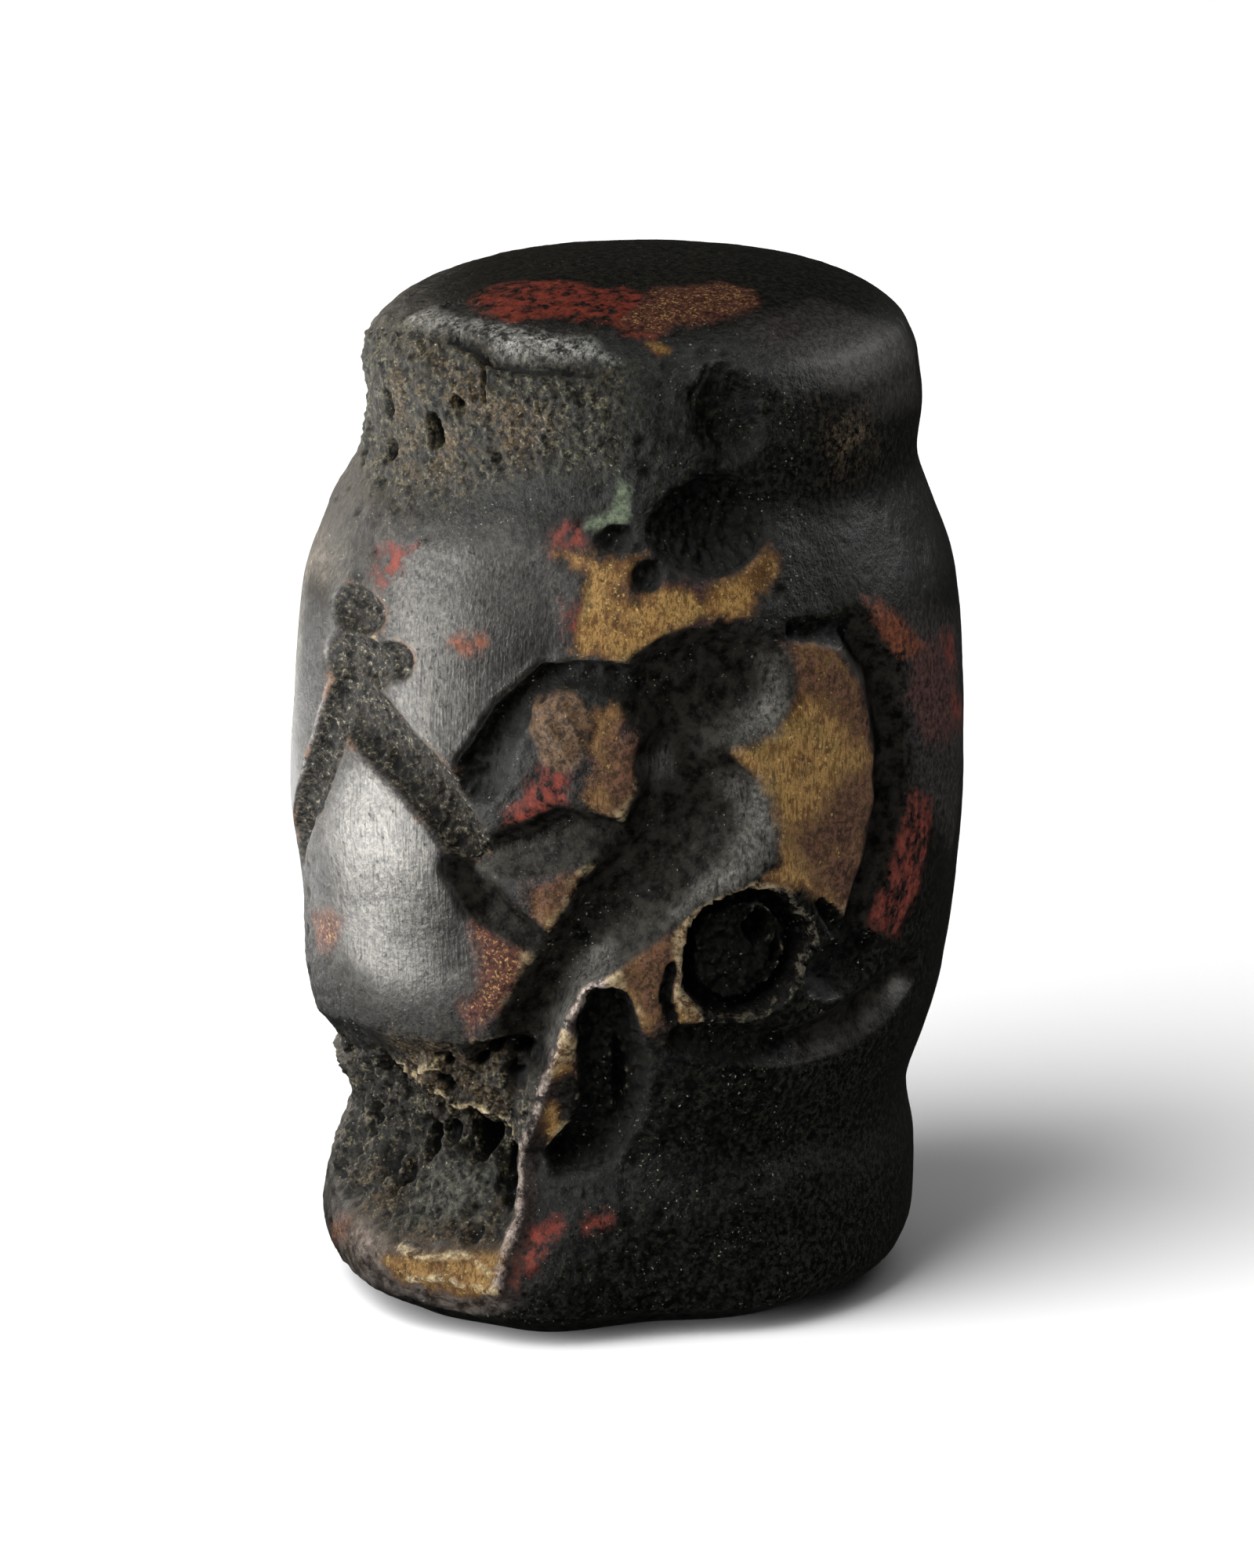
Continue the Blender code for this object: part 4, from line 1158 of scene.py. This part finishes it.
def give_attribute(piece, grid, name, values):
    """Stores one number per point. The foot's flat, not in the grid, takes its rim's numbers."""
    flat = values.ravel()
    if grid.wraps:
        foot = np.repeat(values[:1], FOOT_RINGS - 1, axis=0).ravel()
        flat = np.concatenate([foot, flat, [values[0].mean()], [values[-1].mean()]])
    layer = piece.data.attributes.new(name, "FLOAT", "POINT")
    layer.data.foreach_set("value", flat.astype(np.float32))


def give_attributes(piece, grid):
    stands = grid.relief - grid.cut
    proud = stands - blurred(grid, stands, FORM_REACH)
    figure = (grid.figure_cut > 0.02).astype(float)
    numbers = {
        **grid.patch,
        "figure_cut": grid.figure_cut,
        "rough_cut": grid.rough_cut,
        "smooth_cut": grid.smooth_cut,
        "rough_skin": grid.surface["rough"],
        "lip_highlight": proud * smoothed_patch(grid, ["gold", "pink", "worn_foot"], 0, -0.4, 0.1),
        "crest": proud * grid.surface["eaten"],
        "brim": blurred(grid, figure, BRIM_REACH),
        "proud_fine": stands - blurred(grid, stands, GRAIN_REACH),
        "ridge": np.min([line_distance(grid, mark) for mark in RIDGES], axis=0),
        "ledge": np.min([line_distance(grid, mark) for mark in LEDGES], axis=0),
    }
    for name, values in numbers.items():
        give_attribute(piece, grid, name, values)


for piece, grid in pieces:
    give_attributes(piece, grid)
print(len(seal.data.attributes), "attributes on each piece")

# %% [markdown]
# ## The bronze
# Cast tin bronze, patinated in the ground. The skin is mostly a dense black oxide, which reflects
# like dark glass and not like metal. Where it is rubbed through, the metal is grey with fine
# upright scratches, and where it has flaked, gold-brown. Copper oxide is brick red and matt, and
# the crust is earth: light, dry and grainy. The material is one shader, and each finish is laid
# over the ones before it like a coat, by a mask.

# %% A node helper
bronze = bpy.data.materials.new("patinated_bronze")
bronze.use_nodes = True
tree = bronze.node_tree
shader = tree.nodes["Principled BSDF"]


def node(kind, inputs=(), output=0, **settings):
    """Adds one node with its settings and what feeds it, and gives back one of its outputs."""
    made = tree.nodes.new(kind)
    for setting, value in settings.items():
        setattr(made, setting, value)
    for socket, value in dict(inputs).items():
        if isinstance(value, bpy.types.NodeSocket):
            tree.links.new(value, made.inputs[socket])
        else:
            made.inputs[socket].default_value = value
    return made.outputs[output]


# %% [markdown]
# Everything that looks random in the finish comes from a few noises. Each is named for what it
# breaks up, and its spots have the size of the real thing: a grain of salt is a few hundredths of
# a millimetre, and a scratch is far longer up the seal than across.

# %% Noises
NOISES = {
    # name: spot size in millimetres, octaves, roughness of the octaves, stretch along x, y and z
    "blotch": (1.30, 5, 0.60, (1, 1, 1)),
    "fray": (0.50, 5, 0.70, (1, 1, 1)),
    "flake": (0.35, 5, 0.68, (1, 1, 1)),
    "lump": (0.22, 2, 0.60, (1, 1, 1)),
    "grit": (0.15, 5, 0.78, (1, 1, 1)),
    "salt": (0.07, 1, 0.50, (1, 1, 1)),
    "scratch": (0.06, 2, 0.55, (1, 1, 0.07)),
    "stroke": (0.12, 5, 0.74, (1, 1, 0.25)),
}
place = node("ShaderNodeTexCoord", output="Object")
noise = {}
for name, (size, octaves, roughness, stretch) in NOISES.items():
    scale = tuple(share / (size * MM) for share in stretch)
    at = node("ShaderNodeVectorMath", {0: place, 1: scale}, operation="MULTIPLY")
    turn = {"Vector": at, "Rotation": ASKEW}
    at = node("ShaderNodeVectorRotate", turn, rotation_type="EULER_XYZ")
    fields = {"Vector": at, "Scale": 1.0, "Detail": octaves, "Roughness": roughness}
    noise[name] = node("ShaderNodeTexNoise", fields, "Fac")


# %% [markdown]
# A coat is a colour, a metallic value and a roughness. Laying one coat over another mixes all
# three by the same mask, so a half-rubbed place is half black skin and half bare metal in every
# respect.

# %% Masks and coats
Coat = namedtuple("Coat", "colour metallic roughness")
SMOOTH = {"interpolation_type": "SMOOTHSTEP"}
COLOURS = {"data_type": "RGBA"}
MULTIPLY_ADD = {"operation": "MULTIPLY_ADD"}


def mask(name, start, end, fray=0.0, broken=(), most=1.0):
    """Where an attribute runs from start to end, frayed, and broken up by the noises named."""
    value = node("ShaderNodeAttribute", {}, "Fac", attribute_name=name)
    value = node("ShaderNodeMath", {0: noise["fray"], 1: fray, 2: value}, **MULTIPLY_ADD)
    limits = {"From Min": start + fray / 2, "From Max": end + fray / 2, "To Max": most}
    covered = node("ShaderNodeMapRange", {"Value": value, **limits}, **SMOOTH)
    for kind, bare, full in broken:
        limits = {"Value": noise[kind], "From Min": bare, "From Max": full}
        kept = node("ShaderNodeMapRange", limits, **SMOOTH)
        covered = node("ShaderNodeMath", {0: covered, 1: kept}, operation="MULTIPLY")
    return covered


# How a coat's two shades mingle: by which noise, and between which of its values
FINE, MOTTLED = ("grit", 0.35, 0.65), ("flake", 0.35, 0.65)
SALTED, DUSTED = ("salt", 0.35, 0.65), ("salt", 0.4, 0.6)


def lay(under, where, darker, lighter, blend, metallic, roughness):
    """Lays a coat over another. Its colour runs between two shades by their blend."""
    kind, start, end = blend
    limits = {"Value": noise[kind], "From Min": start, "From Max": end}
    share = node("ShaderNodeMapRange", limits, **SMOOTH)
    shade = node("ShaderNodeMix", {0: share, 6: colour(darker), 7: colour(lighter)}, 2, **COLOURS)
    return Coat(
        node("ShaderNodeMix", {0: where, 6: under.colour, 7: shade}, 2, **COLOURS),
        node("ShaderNodeMix", {0: where, 2: under.metallic, 3: metallic}),
        node("ShaderNodeMix", {0: where, 2: under.roughness, 3: roughness}),
    )


def lay_all(coat, rows):
    """Lays the rows on in turn: a mask, two shades, their blend, metallic and roughness."""
    for where, *finish in rows:
        coat = lay(coat, mask(*where), *finish)
    return coat


# %% [markdown]
# First the metal's own skin. The black oxide is dense and a little shiny, with pale mineral specks
# in it. On the belly it is rubbed through to grey metal with fine upright scratches. On the right,
# a lighter grey-purple is painted on as a sheen.

# %% Black skin, rubbed metal and a painted sheen
coat = Coat(colour("#0a0a09"), 0.0, 0.36)
coat = lay(coat, 1.0, "#040403", "#25241d", ("grit", 0.42, 0.62), 0.0, 0.36)
SKIN_METAL_AND_PAINTED_SHEEN = (
    # Old skin between the grains of rough places, nearly black
    (("rough_skin", 0.3, 0.9, 0.0, [("flake", 0.5, 0.58)], 0.8),
     "#020202", "#0b0b09", ("grit", 0.4, 0.6), 0.0, 0.5),
    # The first wear round the rubbed metal
    (("silver", -1.8, -0.2, 1.0, [("grit", 0.42, 0.58)], 0.9),
     "#34332f", "#56544e", ("grit", 0.3, 0.7), 0.9, 0.36),
    # Rubbed metal
    (("silver", -1.0, 0.6, 1.2), "#525150", "#6e6c67", ("grit", 0.36, 0.64), 1.0, 0.36),
    # Hair-fine dark scratches in it
    (("silver", -0.4, 0.4, 0.6, [("scratch", 0.52, 0.66)], 0.5),
     "#2e2d2a", "#3a3835", DUSTED, 1.0, 0.36),
    # Pores in it, with skin left in them
    (("silver", -0.8, 0.2, 0.9, [("lump", 0.62, 0.72)], 0.7),
     "#1a1916", "#2c2a24", DUSTED, 0.7, 0.45),
    # The pale rim of the top, broken up by strokes
    (("rim", -0.3, 0.3, 0.9, [("stroke", 0.4, 0.52), ("flake", 0.36, 0.5)]),
     "#74746e", "#f0eee6", FINE, 0.8, 0.42),
    # The foot's worn edge
    (("worn_foot", -0.3, 0.3, 0.9), "#51463f", "#a4988f", MOTTLED, 0.9, 0.38),
    # A lighter grey-purple on the right top and waist: a painted sheen
    (("painted_sheen", -0.6, 0.6, 0.8, [], 0.8), "#1c1a19", "#514b48", FINE, 0.4, 0.5),
)
coat = lay_all(coat, SKIN_METAL_AND_PAINTED_SHEEN)

# %% [markdown]
# Copper oxide is brick red. It lies under the black skin, so it shows in ragged islands where the
# skin flaked off, and darker towards purple where a little of the skin is left.

# %% Red oxide
RED_OXIDE = (
    (("purple", -0.3, 0.3, 0.9), "#221412", "#64433d", FINE, 0.2, 0.45),
    (("red", -0.25, 0.25, 1.1, [("flake", 0.38, 0.5), ("grit", 0.34, 0.46)], 0.95),
     "#35130d", "#8a3726", ("flake", 0.34, 0.68), 0.1, 0.5),
    # Pink is red oxide with bare metal showing through
    (("pink", -0.25, 0.35, 0.8, [("flake", 0.3, 0.42)]), "#341a15", "#704338", FINE, 0.3, 0.45),
    # Gold specks in it
    (("pink", -0.1, 0.5, 0.8, [("salt", 0.54, 0.62), ("flake", 0.4, 0.52)], 0.9),
     "#6a5026", "#dcb470", FINE, 0.4, 0.45),
    (("orange", -0.2, 0.2, 0.8, [("flake", 0.34, 0.44)]), "#3c1c10", "#8c4a28", FINE, 0.2, 0.5),
)
coat = lay_all(coat, RED_OXIDE)

# %% [markdown]
# Bare bronze is gold-brown. Even there the metal is stained: brown and dark red in between, and
# black flecks where skin is left.

# %% Bare gold-brown metal
BARE_METAL = (
    # The ridge's brown flank
    (("ridge", 0.6, 0.1, 0.6), "#28211f", "#564a45", FINE, 0.6, 0.45),
    # Stained brown metal first
    (("gold", -0.15, 0.15, 1.1), "#2a1b0d", "#704a24", ("grit", 0.36, 0.64), 0.2, 0.5),
    # Bare metal over most of it
    (("gold", 0.0, 0.3, 1.1, [("blotch", 0.3, 0.5), ("flake", 0.28, 0.48)], 0.9),
     "#745228", "#dcb06a", ("stroke", 0.38, 0.62), 0.35, 0.42),
    # Greenish stains
    (("gold", -0.1, 0.2, 0.8, [("blotch", 0.5, 0.64)], 0.35),
     "#54481f", "#93854a", MOTTLED, 0.3, 0.45),
    # Dark strokes
    (("gold", -0.1, 0.2, 0.8, [("stroke", 0.53, 0.6)], 0.8),
     "#1c120a", "#46301a", SALTED, 0.2, 0.5),
    # Dark red flecks
    (("gold", -0.1, 0.2, 0.8, [("flake", 0.55, 0.62)], 0.7),
     "#36190f", "#6c4026", ("grit", 0.4, 0.6), 0.2, 0.5),
    # Cream glints
    (("gold", -0.1, 0.2, 0.8, [("grit", 0.44, 0.36)], 0.8), "#a87c38", "#f0cc84", SALTED, 0.5, 0.4),
    # Umber shade
    (("umber", -0.5, 0.4, 0.9, [("flake", 0.66, 0.54)], 0.9),
     "#261512", "#74503f", ("grit", 0.4, 0.6), 0.3, 0.5),
    # Black flecks of skin
    (("gold", -0.1, 0.2, 0.8, [("lump", 0.66, 0.76)], 0.7), "#0c0b09", "#1c1812", DUSTED, 0.0, 0.5),
    # Malachite
    (("green", -0.15, 0.15, 0.7), "#283022", "#76826a", ("grit", 0.3, 0.65), 0.0, 0.8),
)
coat = lay_all(coat, BARE_METAL)

# %% [markdown]
# Crust is soil set hard: nearly black where it is wet-looking and dense, ochre where it is dry.
# The crater's core has the same colours but is barer. Its crests are painted lighter as a
# highlight, and the pits between them are painted black as shade.

# %% Crust, crater, packed dirt and painted light
CRUST_DIRT_AND_PAINTED_LIGHT = (
    # The waist's crust
    (("crust", -0.8, 0.4, 1.2), "#050504", "#343224", ("grit", 0.42, 0.58), 0.0, 0.6),
    # Its dry grains
    (("crust", -0.4, 0.6, 1.2, [("flake", 0.46, 0.6), ("grit", 0.45, 0.56)], 0.75),
     "#34321f", "#827b60", SALTED, 0.0, 0.5),
    # The crater
    (("crater", -0.4, 0.3, 0.8), "#030302", "#28261c", ("grit", 0.42, 0.58), 0.0, 0.5),
    # Its dry grains
    (("crater", -0.1, 0.4, 0.8, [("flake", 0.48, 0.6), ("grit", 0.47, 0.56)], 0.9),
     "#443f30", "#8c8468", SALTED, 0.0, 0.5),
    # Ochre earth
    (("ochre", -0.9, 0.6, 1.6, [("grit", 0.4, 0.56), ("blotch", 0.4, 0.56)], 0.7),
     "#33291a", "#745c38", ("salt", 0.36, 0.62), 0.0, 0.7),
    # The smooth cuts are greyer than the skin
    (("smooth_cut", 0.03, 0.15), "#12110f", "#423f38", ("flake", 0.34, 0.66), 0.7, 0.45),
    # Walls that face the lamps, and a strip far left: partly polish, partly painted sheen
    (("polish_and_painted_sheen", -0.3, 0.7, 0.6, [("stroke", 0.32, 0.56)], 0.9),
     "#6a6861", "#c6c3bb", ("grit", 0.32, 0.68), 0.9, 0.42),
    # Black specks in them
    (("smooth_cut", 0.05, 0.25, 0.0, [("grit", 0.54, 0.62)], 0.7),
     "#060606", "#1c1c19", ("grit", 0.4, 0.6), 0.0, 0.45),
    # The rough cuts
    (("rough_cut", 0.04, 0.14), "#040404", "#211f19", ("grit", 0.4, 0.68), 0.0, 0.55),
    # Brown metal close about the small figure
    (("brim", 0.1, 0.4, 0.6, [("blotch", 0.49, 0.59), ("grit", 0.34, 0.5)], 0.9),
     "#402c1c", "#846249", FINE, 0.2, 0.5),
    # Dirt in the small figure
    (("figure_cut", 0.03, 0.1), "#040403", "#413b2c", ("grit", 0.43, 0.57), 0.0, 0.6),
    # Black spots in that dirt: painted shade standing for holes
    (("figure_cut", 0.05, 0.15, 0.0, [("lump", 0.44, 0.36)], 0.85),
     "#020202", "#080807", DUSTED, 0.0, 0.6),
    # Glints in it
    (("figure_cut", 0.05, 0.15, 0.0, [("grit", 0.57, 0.63)], 0.8),
     "#5c584a", "#b4ae9a", SALTED, 0.2, 0.4),
    # The blister of earth
    (("blister", -0.1, 0.1, 0.3), "#33261a", "#74583c", ("grit", 0.38, 0.62), 0.0, 0.7),
    # Painted highlights on the crests in the crater
    (("crest", 0.08, 0.3, 0.0, [("flake", 0.36, 0.58)], 0.5),
     "#1c1b15", "#4a473b", ("grit", 0.36, 0.64), 0.0, 0.55),
)
coat = lay_all(coat, CRUST_DIRT_AND_PAINTED_LIGHT)

# %% [markdown]
# Last come wear, painted light and specks. The ridge beside the crater and the ledges in it catch
# every touch, so they are rubbed bright, and the ridge's crest is painted brighter as a highlight.
# Proud grains and the lips of cuts get painted highlights, and the hollows between grains and in
# the crater are painted black as shade. Pale mineral grains are sprinkled over all that is rough.

# %% Wear, painted light and specks
WEAR_PAINTED_LIGHT_AND_SPECKS = (
    # The ridge's crest: rubbed metal, painted brighter as a highlight
    (("ridge", 0.18, 0.03, 0.3, [("flake", 0.42, 0.52)]), "#7e7068", "#dccabe", FINE, 0.7, 0.4),
    # The ledges
    (("ledge", 0.16, 0.0, 0.3, [("flake", 0.42, 0.52)]), "#6a583c", "#dccaa0", FINE, 0.0, 0.6),
    # Painted highlights on the lips of cuts in bare metal
    (("lip_highlight", 0.1, 0.22, 0.0, [("flake", 0.42, 0.54), ("grit", 0.36, 0.48)], 0.9),
     "#7a6444", "#dcc69c", ("grit", 0.3, 0.65), 0.6, 0.4),
    # Painted highlights on proud grains
    (("proud_fine", 0.07, 0.14, 0.0, [("flake", 0.5, 0.6)], 0.6),
     "#4c483c", "#a0967e", FINE, 0.4, 0.45),
    # Painted shade: black in the crater's hollows
    (("crest", -0.03, -0.16, 0.0, [], 0.95), "#020202", "#0a0a09", DUSTED, 0.0, 0.7),
    # Grey rock in it
    (("rock", -0.4, 0.3, 0.6, [("flake", 0.3, 0.48)], 0.9),
     "#1e1e1a", "#68675c", ("grit", 0.36, 0.64), 0.2, 0.5),
    # Painted shade: black between the grains
    (("proud_fine", -0.03, -0.09), "#020202", "#0a0a09", DUSTED, 0.0, 0.6),
    # Pale specks
    (("rough_skin", 0.1, 0.5, 0.0, [("salt", 0.71, 0.76), ("blotch", 0.42, 0.6)]),
     "#6a6858", "#c0bea8", FINE, 0.0, 0.5),
)
coat = lay_all(coat, WEAR_PAINTED_LIGHT_AND_SPECKS)

tree.links.new(coat.colour, shader.inputs["Base Color"])
tree.links.new(coat.metallic, shader.inputs["Metallic"])
tree.links.new(coat.roughness, shader.inputs["Roughness"])

# %% [markdown]
# What is finer than the mesh can hold is left to the shader: grains on the rough parts, and on the
# rubbed metal hair-fine scratches and pores.

# %% Grain and scratches
SMOOTH_SHARE = 0.12
# Heights in millimetres
GRIT_HEIGHT, LUMP_HEIGHT, SCRATCH_HEIGHT = 0.06, 0.05, 0.006
rough = node("ShaderNodeAttribute", {}, "Fac", attribute_name="rough_skin")
share = node("ShaderNodeMath", {0: rough, 1: 1 - SMOOTH_SHARE, 2: SMOOTH_SHARE}, **MULTIPLY_ADD)
fine = node("ShaderNodeMath", {0: noise["grit"], 1: GRIT_HEIGHT}, operation="MULTIPLY")
grain = node("ShaderNodeMath", {0: noise["lump"], 1: LUMP_HEIGHT, 2: fine}, **MULTIPLY_ADD)
grain = node("ShaderNodeMath", {0: grain, 1: share}, operation="MULTIPLY")
height = node("ShaderNodeMath", {0: noise["scratch"], 1: SCRATCH_HEIGHT, 2: grain}, **MULTIPLY_ADD)
bump = node("ShaderNodeBump", {"Height": height, "Distance": MM, "Strength": 1.0})
tree.links.new(bump, shader.inputs["Normal"])
for piece, grid in pieces:
    piece.data.materials.append(bronze)
    seal_only.objects.link(piece)
print(len(tree.nodes), "nodes")

# %% [markdown]
# ## The pieces in place
# The skin replaces the imported solid for the eye, and the solid stays for collisions.

# %% Finish
for piece, grid in pieces:
    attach(piece, "root")
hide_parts("seal_body")
bpy.context.view_layer.update()
